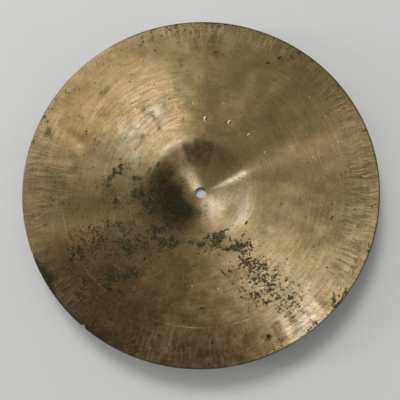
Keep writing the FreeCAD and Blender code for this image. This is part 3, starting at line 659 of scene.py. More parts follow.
# Fans and stains with crisper edges: first angle and its softness, last angle and its softness, inner and
# outer radius, softness of both, and strength.
CRISP_PATCHES = {
    "dark_tarnish_and_shade": [
        # The first three rows paint a dark reflection in the cup's fan from 66 to 105 degrees; the last is
        # tarnish.
        (66, 4, 90, 4, 27, 52, 6, 0.42), (99, 1.5, 104.6, 1.5, 31, 51, 5, 0.42),
        (90, 2, 99, 2, 27, 44, 8, 0.25), (158, 8, 238, 12, 19, 33, 5, 0.45),
    ],
    "brown_tarnish_and_shade": [
        # The rows from 132 to 160 and from 68 to 96 degrees paint shade in the cup beside the bright streaks
        # by the bore.
        (20, 4, 64, 6, 20, 52, 9, 0.08), (132, 10, 160, 10, 12, 48, 9, 0.28),
        (68, 14, 96, 3, 9, 27, 6, 0.26), (150.6, 0.8, 154.2, 0.9, 162.2, 167.6, 1.8, 0.62),
        (288.6, 0.5, 291.8, 0.6, 152, 171, 2, 0.62), (295.0, 0.4, 297.4, 0.4, 149, 164, 2, 0.58),
        (300.9, 0.3, 301.9, 0.3, 157, 176, 2, 0.58), (306.4, 0.4, 308.6, 0.5, 157, 172, 2, 0.52),
        (284.4, 0.4, 287.6, 0.5, 157.5, 166, 2, 0.42), (293.6, 0.5, 297.0, 0.5, 168.6, 171.6, 1.4, 0.5),
    ],
    "olive_film_and_shade": [
        # The first row paints shade along the edge of the far bright fan, at 96.6 degrees.
        (88, 6, 96.6, 0.9, 96, 144, 6, 0.34), (74.8, 1.2, 79.4, 1.4, 141, 166, 6, 0.75),
        (82.6, 1.2, 86.2, 1.4, 146, 160, 6, 0.4), (124.0, 0.6, 128.6, 0.8, 140.4, 145.8, 1.6, 0.85),
        (57, 3, 62, 3, 138, 158, 8, 0.25),
    ],
    "rubbed_bare_and_highlight": [
        # Most rows paint highlights on bared metal: the far bright fan, the streaks by the bore and on the
        # shoulder, the strips from 150 to 163 degrees and the bright patches in the near fan.
        (149.8, 1.0, 153.2, 2.4, 128, 160, 6, 0.35), (154.4, 1.0, 158, 2.4, 146, 172, 5, 0.22),
        (161, 1, 163.4, 1.6, 140, 160, 5, 0.16), (97.2, 1.6, 128, 26, 66, 148, 12, 0.22),
        (104.6, 1.0, 111, 3, 38, 58, 7, 0.2), (102.4, 1.2, 128, 8, 40, 58, 7, 0.22),
        (96.5, 2.5, 128, 7, 6, 27, 5, 0.3), (291.2, 0.8, 295.4, 1.6, 148, 173, 5, 0.4),
        (297.6, 1.0, 307.5, 2.0, 163, 175.5, 3, 0.4), (303.4, 0.8, 307.0, 1.2, 149, 163, 4, 0.35),
        (292.2, 0.5, 294.2, 0.6, 149, 167, 3, 0.6), (298.0, 0.5, 300.8, 0.6, 161, 173, 3, 0.55),
        (302.0, 0.4, 303.4, 0.5, 154, 174, 3, 0.5), (304.6, 0.4, 306.2, 0.5, 162, 172, 2, 0.5),
    ],
    "pale_film_and_highlight": [
        # Pale film in the near bright fan, partly painted highlight.
        (294.2, 0.8, 299.0, 1.0, 171.0, 176.8, 1.2, 0.7), (296.6, 0.5, 298.6, 0.5, 166, 172, 2, 0.5),
        (301.6, 0.4, 303.0, 0.4, 168, 174, 2, 0.55), (292.6, 0.4, 293.8, 0.4, 151, 160, 2, 0.4),
    ],
    "copper_tone_and_highlight": [
        # Both rows paint highlights: the golden strip at 150 degrees and the bright side of the far fan's
        # edge.
        (149.6, 2.0, 153.6, 2.4, 124, 171, 6, 0.25), (93.2, 1.6, 104, 8, 72, 98, 8, 0.25),
    ],
}

# Tarnish of the outer faces, in rings: radius, width and strength. Then share and seed of the slow clouds.
OUTER_WEAR = {
    "brown_tarnish_and_shade": ([(9, 7, 0.45), (54.5, 6, 0.50), (176, 7, 0.50)], 0.50, 33),
    "dark_tarnish_and_shade": ([(56, 3, 0.22), (178, 3, 0.40)], 0.0, 32),
    "olive_film_and_shade": ([(84, 26, 0.30)], 0.30, 30),
    "wear_and_highlight_patches": ([(120, 60, 0.80), (30, 20, 0.60)], 0.30, 32),
    "rubbed_bare_and_highlight": ([(50, 3, 0.30), (140, 12, 0.20)], 0.22, 31),
}
CLOUD_LENGTH = 70 * MM
CLOUD_RANGE = (-0.1, 0.9)

# How the crisp patches' edges wander: degrees or metres, wave length, and seed.
EDGE_ANGLE_WANDER = (0.7, 14 * MM, 7)
EDGE_RADIUS_WANDER = (1.2 * MM, 12 * MM, 8)


def crisp_field(patches, angle, radius):
    """Adds up the crisper patches at every point, up to 1."""
    field = np.zeros_like(angle)
    for first, first_soft, last, last_soft, inner, outer, soft, strength in patches:
        away, half = wrapped(angle - (first + last) / 2), (last - first) / 2
        bump = smooth_step(away, -half - first_soft / 2, -half + first_soft / 2)
        bump = bump * (1 - smooth_step(away, half - last_soft / 2, half + last_soft / 2))
        bump = bump * smooth_step(radius, (inner - soft / 2) * MM, (inner + soft / 2) * MM)
        bump = bump * (1 - smooth_step(radius, (outer - soft / 2) * MM, (outer + soft / 2) * MM))
        field = field + strength * bump * (1 - field)
    return field


def patch_field(patches, angle, radius):
    """Adds up soft patches at every point, up to 1."""
    field = np.zeros_like(angle)
    for at, where, around, across, strength in patches:
        sideways = np.radians(wrapped(angle - at)) * radius / (around * MM)
        bump = np.exp(-sideways ** 2 - ((radius - where * MM) / (across * MM)) ** 2)
        field = field + strength * bump * (1 - field)
    return np.clip(field, 0, 1)


def outer_field(name, place, radius):
    """Rings and slow clouds of tarnish on an outer face."""
    if name not in OUTER_WEAR:
        return np.zeros_like(radius)
    rings, cloud_share, seed = OUTER_WEAR[name]
    clouds = waviness(place[:, 0], place[:, 1], CLOUD_LENGTH, seed)
    field = cloud_share * smooth_step(clouds, *CLOUD_RANGE)
    for where, width, strength in rings:
        field = field + strength * soft_bump(radius - where * MM, width * MM) * (1 - field)
    return np.clip(field, 0, 1)


def paint_patina_and_light(piece, hollow, painted):
    """Writes each layer of patina and painted light to a sheet's points: patches on the hollow face, rings
    and clouds outside.
    """
    place, radius, angle = points_of(piece.data)
    x, y = place[:, 0], place[:, 1]
    shaken_angle = angle + EDGE_ANGLE_WANDER[0] * waviness(x, y, *EDGE_ANGLE_WANDER[1:])
    shaken_radius = radius + EDGE_RADIUS_WANDER[0] * waviness(x, y, *EDGE_RADIUS_WANDER[1:])
    for name, patches in PATINA_AND_PAINTED_LIGHT.items():
        values = patch_field(patches, angle, radius)
        crisp = crisp_field(CRISP_PATCHES.get(name, []), shaken_angle, shaken_radius)
        values = (values + crisp * (1 - values)) * (hollow > 0.5) * painted
        values = values + outer_field(name, place, radius) * (hollow <= 0.5)
        layer = piece.data.attributes.new(name, "FLOAT", "POINT")
        layer.data.foreach_set("value", values.astype(np.float32))


# Materials

def colour(red, green, blue):
    return (red, green, blue, 1.0)


OLIVE_BRONZE = colour(0.236, 0.178, 0.078)
WARM_BRONZE = colour(0.282, 0.203, 0.098)
BARE_BRONZE = colour(0.560, 0.425, 0.285)
PALE_FILM_AND_HIGHLIGHT = colour(0.480, 0.435, 0.345)
COPPER_TONE = colour(0.440, 0.250, 0.100)
GREY_OLIVE = colour(0.130, 0.105, 0.050)
GREEN_OLIVE = colour(0.062, 0.062, 0.026)
BROWN_OXIDE = colour(0.048, 0.027, 0.009)
DARK_OXIDE = colour(0.012, 0.009, 0.004)
VERDIGRIS = colour(0.016, 0.0175, 0.0045)
PALE_VERDIGRIS = colour(0.098, 0.104, 0.056)
BLACK_OXIDE = colour(0.024, 0.0235, 0.0095)
PIT_BLACK = colour(0.014, 0.013, 0.005)
RIM_GRIME = colour(0.040, 0.038, 0.022)
BLACK_CRUST = colour(0.009, 0.008, 0.0035)
GREY_CRUST = colour(0.034, 0.031, 0.014)
SCRATCH_DARK = colour(0.030, 0.024, 0.011)
SCRATCH_LIGHT = colour(0.075, 0.058, 0.030)
EDGE_DARK = colour(0.42, 0.33, 0.21)
EDGE_BRIGHT = colour(0.68, 0.57, 0.43)
FLOOR_GREY = colour(0.665, 0.670, 0.660)
FLOOR_PALE = colour(0.715, 0.720, 0.710)
ROOM_WHITE = colour(1.0, 0.99, 0.97)
WARM_REFLECTION = colour(1.0, 0.86, 0.60)


class NodeBench:
    """Adds nodes to one node tree and joins them."""

    def __init__(self, tree):
        self.tree = tree

    def add(self, kind, inputs=None, **settings):
        node = self.tree.nodes.new(kind)
        for name, value in settings.items():
            setattr(node, name, value)
        for name, value in (inputs or {}).items():
            self.feed(node.inputs[name], value)
        return node

    def feed(self, socket, value):
        if isinstance(value, bpy.types.NodeSocket):
            self.tree.links.new(value, socket)
        else:
            socket.default_value = value

    def math(self, operation, a, b=0.0, clamp=False):
        return self.add("ShaderNodeMath", {0: a, 1: b}, operation=operation, use_clamp=clamp).outputs[0]

    def times(self, a, b, clamp=False):
        return self.math("MULTIPLY", a, b, clamp)

    def plus(self, a, b, clamp=False):
        return self.math("ADD", a, b, clamp)

    def minus(self, a, b, clamp=False):
        return self.math("SUBTRACT", a, b, clamp)

    def larger(self, a, b):
        return self.math("MAXIMUM", a, b)

    def ramp(self, value, low, high, to_low=0.0, to_high=1.0, shape="SMOOTHSTEP"):
        """Maps a value from one range to another, without overshoot."""
        given = {"Value": value, "From Min": low, "From Max": high, "To Min": to_low, "To Max": to_high}
        return self.add("ShaderNodeMapRange", given, interpolation_type=shape).outputs["Result"]

    def mix(self, share, a, b, blend="MIX"):
        given = {0: share, 6: a, 7: b}
        return self.add("ShaderNodeMix", given, data_type="RGBA", blend_type=blend).outputs[2]

    def noise(self, vector, scale, detail=2.0, roughness=0.5, output="Fac"):
        given = {"Vector": vector, "Scale": scale, "Detail": detail, "Roughness": roughness}
        return self.add("ShaderNodeTexNoise", given).outputs[output]

    def vector(self, operation, a, b):
        given = {0: a, 3 if operation == "SCALE" else 1: b}
        return self.add("ShaderNodeVectorMath", given, operation=operation).outputs["Vector"]

    def place(self):
        return self.add("ShaderNodeTexCoord").outputs["Object"]

    def parts(self, vector):
        return self.add("ShaderNodeSeparateXYZ", {"Vector": vector}).outputs

    def flat(self, parts):
        """The vector of the first two parts, laid flat."""
        return self.add("ShaderNodeCombineXYZ", {"X": parts["X"], "Y": parts["Y"]}).outputs[0]

    def unit(self, vector):
        return self.add("ShaderNodeVectorMath", {0: vector}, operation="NORMALIZE").outputs["Vector"]

    def bump(self, height, strength, depth):
        given = {"Height": height, "Strength": strength, "Distance": depth}
        return self.add("ShaderNodeBump", given).outputs[0]

    def attribute(self, name):
        return self.add("ShaderNodeAttribute", attribute_name=name).outputs["Fac"]

    def group(self, tree, **inputs):
        node = self.add("ShaderNodeGroup", node_tree=tree)
        for name, value in inputs.items():
            self.feed(node.inputs[name], value)
        return node


def shader_group(name, inputs, outputs):
    """An empty shader node group, its bench, and the sockets at its start and its end."""
    tree = bpy.data.node_groups.new(name, "ShaderNodeTree")
    for socket, default in inputs:
        made = tree.interface.new_socket(socket, in_out="INPUT", socket_type="NodeSocketFloat")
        made.default_value = default
    for socket in outputs:
        tree.interface.new_socket(socket, in_out="OUTPUT", socket_type="NodeSocketFloat")
    bench = NodeBench(tree)
    start, end = bench.add("NodeGroupInput"), bench.add("NodeGroupOutput")
    return tree, bench, start.outputs, end.inputs


def polar_vector(bench, along, around, warp=None):
    """Coordinates that run with the radius by one scale and round the axis by another, and the radius."""
    flat = bench.flat(bench.parts(bench.place()))
    radius = bench.add("ShaderNodeVectorMath", {0: flat}, operation="LENGTH").outputs["Value"]
    turn = bench.unit(flat)
    if warp is not None:
        turn = bench.vector("ADD", turn, warp)
    turned = bench.parts(turn)
    vector = bench.add("ShaderNodeCombineXYZ", {
        "X": bench.times(turned["X"], around),
        "Y": bench.times(turned["Y"], around),
        "Z": bench.times(radius, along),
    }).outputs[0]
    return vector, radius


def centred_noise(bench, scale, size):
    """A noise vector round zero, for warping."""
    colour_noise = bench.noise(bench.place(), scale, output="Color")
    return bench.vector("SCALE", bench.vector("SUBTRACT", colour_noise, (0.5, 0.5, 0.5)), size)


# Warps that make edges ragged: noise scale, and size. The streaks' size is a share of the radius.
STREAK_WARP = (70.0, 0.050)
SPECK_WARP = (700.0, 1.6 * MM)
PIT_WARP = (900.0, 0.7 * MM)

# Specks: share of fine grain in their pattern, scale of its clusters as a share of the grain's, and the level
# that it has to pass where there are no specks and where they are thickest. Then where a speck's edge and the
# edge of the stain round it start and end, as how far the pattern passes that level.
SPECK_GRAIN_SHARE = 0.70
SPECK_CLUSTER_SHARE = 0.24
SPECK_LEVELS = (0.640, 0.405)
SPECK_EDGE = (-0.010, 0.034)
STAIN_EDGE = (-0.080, 0.010)

# Pits: smallest and largest size as a share of their spacing, and softness of their edge.
PIT_SIZE_SHARES = (0.10, 0.34)
PIT_EDGE = 0.06

# Turned lines: output, lines to a metre, and breaks round the axis.
TURNED_LINES = [("Fine", 950.0, 1.0), ("Middle", 330.0, 1.2), ("Broad", 95.0, 2.4)]


def turning_lines_group():
    """Lines left by the lathe in rings round the axis, fine, middle and broad, each about 0.5 at its mean."""
    tree, bench, given, out = shader_group("turning_lines", [("Breaks", 5.0)], ["Fine", "Middle", "Broad"])
    for output, per_metre, breaks in TURNED_LINES:
        vector, _ = polar_vector(bench, per_metre, bench.times(given["Breaks"], breaks))
        bench.feed(out[output], bench.noise(vector, 1.0, 3.0, 0.6))
    return tree


def rim_streaks_group():
    """Wavy streaks across the sheet near the rim, where the hammer drew it out."""
    tree, bench, given, out = shader_group("rim_streaks", [("Streaks", 52.0), ("Length", 34.0)], ["Streak"])
    vector, _ = polar_vector(bench, given["Length"], given["Streaks"], centred_noise(bench, *STREAK_WARP))
    bench.feed(out["Streak"], bench.ramp(bench.noise(vector, 1.0, 2.5, 0.6), 0.38, 0.62))
    return tree


def specks_group():
    """Corrosion specks where a density says so: more and larger ones where it is higher."""
    tree, bench, given, out = shader_group(
        "corrosion_specks", [("Density", 0.0), ("Scale", 260.0)], ["Speck", "Stain"])
    ragged = bench.vector("ADD", bench.place(), centred_noise(bench, *SPECK_WARP))
    grain = bench.noise(ragged, given["Scale"], 4.0, 0.66)
    cluster = bench.noise(bench.place(), bench.times(given["Scale"], SPECK_CLUSTER_SHARE))
    mixed = bench.plus(bench.times(grain, SPECK_GRAIN_SHARE), bench.times(cluster, 1 - SPECK_GRAIN_SHARE))
    level = bench.ramp(given["Density"], 0.0, 1.0, *SPECK_LEVELS, "LINEAR")
    excess = bench.minus(mixed, level)
    present = bench.ramp(given["Density"], 0.01, 0.05)
    present = bench.times(present, bench.ramp(bench.noise(ragged, 900.0), 0.36, 0.60, 0.62, 1.0))
    bench.feed(out["Speck"], bench.times(bench.ramp(excess, *SPECK_EDGE), present))
    bench.feed(out["Stain"], bench.times(bench.ramp(excess, *STAIN_EDGE), present))
    return tree


def pits_group():
    """Small separate pits and dots, scattered over the metal."""
    tree, bench, given, out = shader_group("scattered_pits", [("Density", 0.1), ("Scale", 260.0)], ["Pit"])
    ragged = bench.vector("ADD", bench.place(), centred_noise(bench, *PIT_WARP))
    cells = bench.add("ShaderNodeTexVoronoi", {"Vector": ragged, "Scale": given["Scale"], "Randomness": 1.0})
    draw = bench.add("ShaderNodeSeparateColor", {"Color": cells.outputs["Color"]}).outputs
    size = bench.ramp(draw["Green"], 0.0, 1.0, *PIT_SIZE_SHARES, "LINEAR")
    dot = bench.ramp(bench.minus(size, cells.outputs["Distance"]), 0.0, PIT_EDGE)
    chosen = bench.math("LESS_THAN", draw["Red"], given["Density"])
    bench.feed(out["Pit"], bench.times(dot, chosen))
    return tree


def principled(bench, **inputs):
    """A Principled shader joined to the output, with its inputs fed."""
    node = bench.add("ShaderNodeBsdfPrincipled")
    for name, value in inputs.items():
        bench.feed(node.inputs[name.replace("_", " ")], value)
    bench.add("ShaderNodeOutputMaterial", {"Surface": node.outputs[0]})
    return node


def new_material(name):
    material = bpy.data.materials.new(name)
    material.use_nodes = True
    material.node_tree.nodes.clear()
    return material, NodeBench(material.node_tree)


TURNING_LINES = turning_lines_group()
RIM_STREAKS = rim_streaks_group()
SPECKS = specks_group()
PITS = pits_group()

# Grains of the bronze: noise scale, detail and roughness.
GRAINS = {
    "cloud": (17.0, 4.0, 0.6), "blotch": (36.0, 3.0, 0.6), "flush": (48.0, 3.0, 0.6),
    "mottle": (80.0, 4.0, 0.65), "stipple": (230.0, 4.0, 0.65), "salt": (330.0, 4.0, 0.65),
    "grit": (620.0, 3.0, 0.7),
}

# Tones of the metal: grain and its range, share, colour, and the attribute that limits it. The bare and
# coppery tones, limited to the patches of wear and highlight, partly paint the highlights of the bright fans.
METAL_TONES = [
    ("mottle", 0.44, 0.66, 0.18, GREY_OLIVE, None),
    ("blotch", 0.44, 0.62, 0.40, BARE_BRONZE, "wear_and_highlight_patches"),
    ("flush", 0.50, 0.66, 0.42, COPPER_TONE, "wear_and_highlight_patches"),
]

# Layers of patina and painted light from the metal up: attribute, colour, grain of its edges and its range,
# greatest cover, and the least cover as a share of that. The copper, bare and pale layers also paint
# highlights, and the olive, brown and dark layers also paint shade.
LAYERS_OF_PATINA_AND_LIGHT = [
    ("copper_tone_and_highlight", COPPER_TONE, "ragged", 0.36, 0.58, 0.75, 0.35),
    ("rubbed_bare_and_highlight", BARE_BRONZE, "ragged", 0.34, 0.60, 0.80, 0.40),
    ("pale_film_and_highlight", PALE_FILM_AND_HIGHLIGHT, "ragged", 0.34, 0.58, 0.80, 0.45),
    ("olive_film_and_shade", GREEN_OLIVE, "fine_ragged", 0.38, 0.58, 0.80, 0.55),
    ("brown_tarnish_and_shade", BROWN_OXIDE, "fine_ragged", 0.36, 0.62, 0.96, 0.78),
    ("dark_tarnish_and_shade", DARK_OXIDE, "fine_ragged", 0.36, 0.56, 1.00, 0.62),
]
# Layers that the turned lines show through.
LINED_LAYERS = ("rubbed_bare_and_highlight", "pale_film_and_highlight")

# Light and dark of lines and grit: pattern and its range, darkest and lightest.
LINE_TONES = [
    ("Fine", 0.40, 0.60, 0.90, 1.10), ("Middle", 0.40, 0.60, 0.91, 1.11), ("Broad", 0.38, 0.62, 0.93, 1.06),
    ("grit", 0.34, 0.66, 0.78, 1.16), ("mottle", 0.36, 0.64, 0.94, 1.06),
]
WEAR_AND_HIGHLIGHT_LINE_DEPTH = 0.09

# Rings that gleam: radii, and where the gleam starts to fade and ends beside each.
GLEAMING_RINGS = (146.8, 139.5, 121.0, 57.0)
GLEAM_REACH = (0.1 * MM, 0.7 * MM)
GLEAM_SHARE = 0.55

# Streaks by the rim: how much they darken, and how bright the gaps between them are.
STREAK_SHARE = 0.36
STREAK_GAP_SHARE = 0.22

# Corrosion: scales of the patterns, pits by the density of black specks, and pits where there are none.
GREEN_SPECK_SCALE = 250.0
BLACK_SPECK_SCALE = 380.0
PIT_SCALE = 360.0
PITS_BY_SPECKS = 1.2
PITS_EVERYWHERE = 0.07

# Grime at the rim: radii where it starts and is full, how far the mottle shifts them, and its share.
GRIME_ZONE = (176.6 * MM, 177.7 * MM)
GRIME_WANDER = 1.6 * MM
GRIME_SHARE = 0.85

# Finish: how dull the tarnish and the grime are beside crust, roughness of clean bronze and what crust adds,
# and how metallic clean bronze is and what crust takes from that.
DULL_TARNISH_SHARE = 0.6
DULL_GRIME_SHARE = 0.6
CLEAN_ROUGHNESS = (0.37, 0.46)
CRUST_ROUGHNESS = 0.35
CLEAN_METAL = 0.92
CRUST_METAL_LOSS = 0.60

# Reflection: specular levels, and how far the turned lines stretch a highlight, a quarter turn across them.
BRONZE_SPECULAR = 0.22
CRUST_SPECULAR = 0.15
BRONZE_STRETCH = 1.0
QUARTER_TURN = 0.25

# Mineral crusts: dark and light colour, scale of the grain, and roughness. Then their raised grain.
CRUSTS = {
    "verdigris_crust": (VERDIGRIS, PALE_VERDIGRIS, 700.0, 0.85),
    "black_crust": (BLACK_CRUST, GREY_CRUST, 900.0, 0.8),
    "dark_scratches": (SCRATCH_DARK, SCRATCH_LIGHT, 900.0, 0.7),
}
CRUST_BUMP_STRENGTH = 0.5
CRUST_BUMP_DEPTH = 0.2 * MM

# Relief of the fine lines, streaks, mottle and crust, its share on the bell, and its strength and depth.
LINE_RELIEF = 0.30
STREAK_RELIEF = 0.40
MOTTLE_RELIEF = 0.55
CRUST_RELIEF = 0.25
BELL_RELIEF_SHARE = 0.30
BELL_RELIEF_END = 62 * MM
RELIEF_STRENGTH = 0.35
RELIEF_DEPTH = 0.4 * MM


def bronze_patterns(bench):
    """All patterns of the bronze by name: noises, two mixtures of them for ragged edges, and turned lines."""
    place = bench.place()
    patterns = {name: bench.noise(place, *settings) for name, settings in GRAINS.items()}
    mottle = patterns["mottle"]
    patterns["ragged"] = bench.plus(bench.times(mottle, 0.6), bench.times(patterns["cloud"], 0.4))
    patterns["fine_ragged"] = bench.plus(bench.times(mottle, 0.5), bench.times(patterns["stipple"], 0.5))
    lines = bench.group(TURNING_LINES).outputs
    patterns.update({name: lines[name] for name, *_ in TURNED_LINES})
    return patterns


def metal_tone(bench, patterns):
    """Olive and warm bronze in clouds, bared and coppery in the patches of wear and painted highlight."""
    tone = bench.mix(bench.ramp(patterns["cloud"], 0.40, 0.62), OLIVE_BRONZE, WARM_BRONZE)
    for grain, low, high, share, paint, limit in METAL_TONES:
        amount = bench.ramp(patterns[grain], low, high)
        if limit:
            amount = bench.times(amount, bench.attribute(limit))
        tone = bench.mix(bench.times(amount, share), tone, paint)
    return tone


def with_patina_and_light(bench, tone, patterns):
    """Lays the patina, with painted highlights and shade, over the metal. Also gives the cover of its last
    layer, the dark tarnish and shade.
    """
    for layer, paint, edge, low, high, most, least_share in LAYERS_OF_PATINA_AND_LIGHT:
        cover = bench.ramp(patterns[edge], low, high, least_share * most, most)
        amount = bench.times(bench.attribute(layer), cover)
        if layer in LINED_LAYERS:
            amount = bench.times(amount, bench.ramp(patterns["Middle"], 0.40, 0.60, 0.78, 1.12), clamp=True)
        tone = bench.mix(amount, tone, paint)
    return tone, amount


def with_streaks(bench, tone):
    """Dark streaks by the rim and bright gaps between them. Also gives the streaks."""
    zone = bench.attribute("rim_streaks")
    streaks = bench.times(bench.group(RIM_STREAKS).outputs["Streak"], zone)
    tone = bench.mix(bench.times(streaks, STREAK_SHARE), tone, GREEN_OLIVE)
    gaps = bench.times(bench.minus(zone, streaks), STREAK_GAP_SHARE)
    return bench.mix(gaps, tone, BARE_BRONZE), streaks


def with_lines(bench, tone, patterns, radius):
    """Light and dark of turned lines and grit, deeper on wear and painted highlight, and rings that gleam."""
    wear_and_highlight = bench.attribute("wear_and_highlight_patches")
    shown = bench.plus(0.50, bench.times(wear_and_highlight, 0.5), clamp=True)
    for name, low, high, darkest, lightest in LINE_TONES:
        least = bench.minus(darkest, bench.times(wear_and_highlight, WEAR_AND_HIGHLIGHT_LINE_DEPTH))
        tone = bench.mix(shown, tone, bench.ramp(patterns[name], low, high, least, lightest), "MULTIPLY")
    for ring in GLEAMING_RINGS:
        away = bench.math("ABSOLUTE", bench.minus(radius, ring * MM))
        gleam = bench.times(bench.ramp(away, *GLEAM_REACH, GLEAM_SHARE, 0.0), bench.attribute("ring_gleam"))
        tone = bench.mix(bench.times(gleam, bench.ramp(patterns["blotch"], 0.38, 0.58)), tone, BARE_BRONZE)
    return tone


def with_specks(bench, tone, patterns):
    """Green and black corrosion with its stains, and pits. Also gives the cover of all of them."""
    density = bench.attribute("black_specks")
    green = bench.group(SPECKS, Density=bench.attribute("green_specks"), Scale=GREEN_SPECK_SCALE).outputs
    black = bench.group(SPECKS, Density=density, Scale=BLACK_SPECK_SCALE).outputs
    pit_density = bench.plus(bench.times(density, PITS_BY_SPECKS), PITS_EVERYWHERE)
    pits = bench.group(PITS, Density=pit_density, Scale=PIT_SCALE).outputs["Pit"]
    salt = bench.mix(bench.ramp(patterns["salt"], 0.47, 0.66), VERDIGRIS, PALE_VERDIGRIS)
    for cover, share, paint in (
        (green["Stain"], 0.45, GREEN_OLIVE), (black["Stain"], 0.30, GREEN_OLIVE),
        (green["Speck"], 0.88, salt), (black["Speck"], 0.90, BLACK_OXIDE), (pits, 0.86, PIT_BLACK),
    ):
        tone = bench.mix(bench.times(cover, share), tone, paint)
    return tone, bench.larger(bench.larger(green["Speck"], black["Speck"]), pits)


def with_rim_grime(bench, tone, patterns, radius):
    """Grime on the last millimetre before the rim. Also gives its cover."""
    reach = bench.plus(radius, bench.times(patterns["mottle"], GRIME_WANDER))
    grime = bench.times(bench.ramp(reach, *GRIME_ZONE), bench.attribute("rim_grime"))
    return bench.mix(bench.times(grime, GRIME_SHARE), tone, RIM_GRIME), grime


def surface_relief(bench, patterns, streaks, crust, radius):
    """Bump of the turned lines, streaks and mottle, faint on the bell, and of the crust."""
    relief = bench.plus(bench.times(patterns["Fine"], LINE_RELIEF), bench.times(streaks, STREAK_RELIEF))
    relief = bench.plus(relief, bench.times(patterns["mottle"], MOTTLE_RELIEF))
    relief = bench.times(relief, bench.ramp(radius, SHOULDER_START, BELL_RELIEF_END, BELL_RELIEF_SHARE, 1.0))
    return bench.bump(bench.plus(relief, bench.times(crust, CRUST_RELIEF)), RELIEF_STRENGTH, RELIEF_DEPTH)


def aged_bronze(name, general_tarnish):
    """Turned and hammered bronze under patina, with painted highlights and shade. The tables of patina and
    painted light reach it as attributes of the sheet.
    """
    material, bench = new_material(name)
    patterns = bronze_patterns(bench)
    _, radius = polar_vector(bench, 1.0, 1.0)
    tone, dark = with_patina_and_light(bench, metal_tone(bench, patterns), patterns)
    tone = bench.mix(general_tarnish, tone, BROWN_OXIDE)
    tone, streaks = with_streaks(bench, tone)
    tone = with_lines(bench, tone, patterns, radius)
    tone, crust = with_specks(bench, tone, patterns)
    tone, grime = with_rim_grime(bench, tone, patterns, radius)

    dull = bench.larger(crust, bench.times(dark, DULL_TARNISH_SHARE))
    dull = bench.larger(dull, bench.times(grime, DULL_GRIME_SHARE))
    rough = bench.ramp(patterns["ragged"], 0.3, 0.7, *CLEAN_ROUGHNESS)
    rough = bench.plus(rough, bench.times(dull, CRUST_ROUGHNESS), clamp=True)
    metal = bench.minus(CLEAN_METAL, bench.times(dull, CRUST_METAL_LOSS), clamp=True)
    relief = surface_relief(bench, patterns, streaks, crust, radius)
    shader = principled(bench, Base_Color=tone, Roughness=rough, Metallic=metal, Normal=relief)
    shader.inputs["Specular IOR Level"].default_value = BRONZE_SPECULAR
    shader.inputs["Specular Tint"].default_value = WARM_REFLECTION
    shader.inputs["Anisotropic"].default_value = BRONZE_STRETCH
    shader.inputs["Anisotropic Rotation"].default_value = QUARTER_TURN
    tangent = bench.add("ShaderNodeTangent", direction_type="RADIAL", axis="Z")
    bench.feed(shader.inputs["Tangent"], tangent.outputs[0])
    return material


def mineral_crust(name, low, high, scale, roughness):
    """Dull mineral crust in two mottled colours."""
    material, bench = new_material(name)
    grain = bench.noise(bench.place(), scale, 3.0, 0.6)
    tone = bench.mix(bench.ramp(grain, 0.38, 0.64), low, high)
    bump = bench.bump(grain, CRUST_BUMP_STRENGTH, CRUST_BUMP_DEPTH)
    shader = principled(bench, Base_Color=tone, Roughness=roughness, Metallic=0.05, Normal=bump)
    shader.inputs["Specular IOR Level"].default_value = CRUST_SPECULAR
    shader.inputs["Specular Tint"].default_value = WARM_REFLECTION
    return material


def bare_bronze_and_glint():
    """Bright bronze on the raised edges of the hammer's marks and in scratches, partly painted glints."""
    material, bench = new_material("bare_bronze_and_glint")
    grain = bench.noise(bench.place(), 900.0)
    rough = bench.ramp(grain, 0.3, 0.7, 0.34, 0.46)
    principled(bench, Base_Color=bench.mix(grain, EDGE_DARK, EDGE_BRIGHT), Roughness=rough, Metallic=0.6)
    return material


def pale_floor():
    material, bench = new_material("pale_floor")
    grain = bench.noise(bench.place(), 7.0, 4.0, 0.55)
    principled(bench, Base_Color=bench.mix(grain, FLOOR_GREY, FLOOR_PALE), Roughness=0.9)
    return material


# Small pieces laid on the hollow face of the upper cymbal

# Beds of raised crust: angle, radius, half width round, half width across, count, smallest and largest size.
GREEN_BEDS = [
    (184, 56, 8, 5, 22, 0.8, 2.6), (176, 68, 6, 4, 10, 0.7, 2.2), (183, 85, 6, 4, 9, 0.7, 2.0),
    (163, 67, 4, 4, 9, 0.8, 2.4), (162, 89, 4, 2, 7, 0.7, 1.9), (168, 93, 4, 4, 8, 0.7, 2.0),
    (213, 95, 12, 7, 12, 0.7, 2.0), (225, 112, 10, 7, 12, 0.7, 2.0), (228, 68, 9, 5, 12, 0.7, 2.0),
    (239, 62, 8, 5, 10, 0.7, 2.0), (268, 55, 10, 5, 8, 0.7, 2.0), (281, 57, 11, 6, 9, 0.8, 2.4),
    (291, 57, 8, 5, 12, 0.8, 2.4), (294, 70, 9, 4, 18, 0.9, 2.8), (219, 127, 8, 7, 9, 0.8, 2.4),
    (48, 172, 8, 4, 8, 0.6, 1.8), (206, 25, 12, 7, 18, 0.6, 2.2),
]
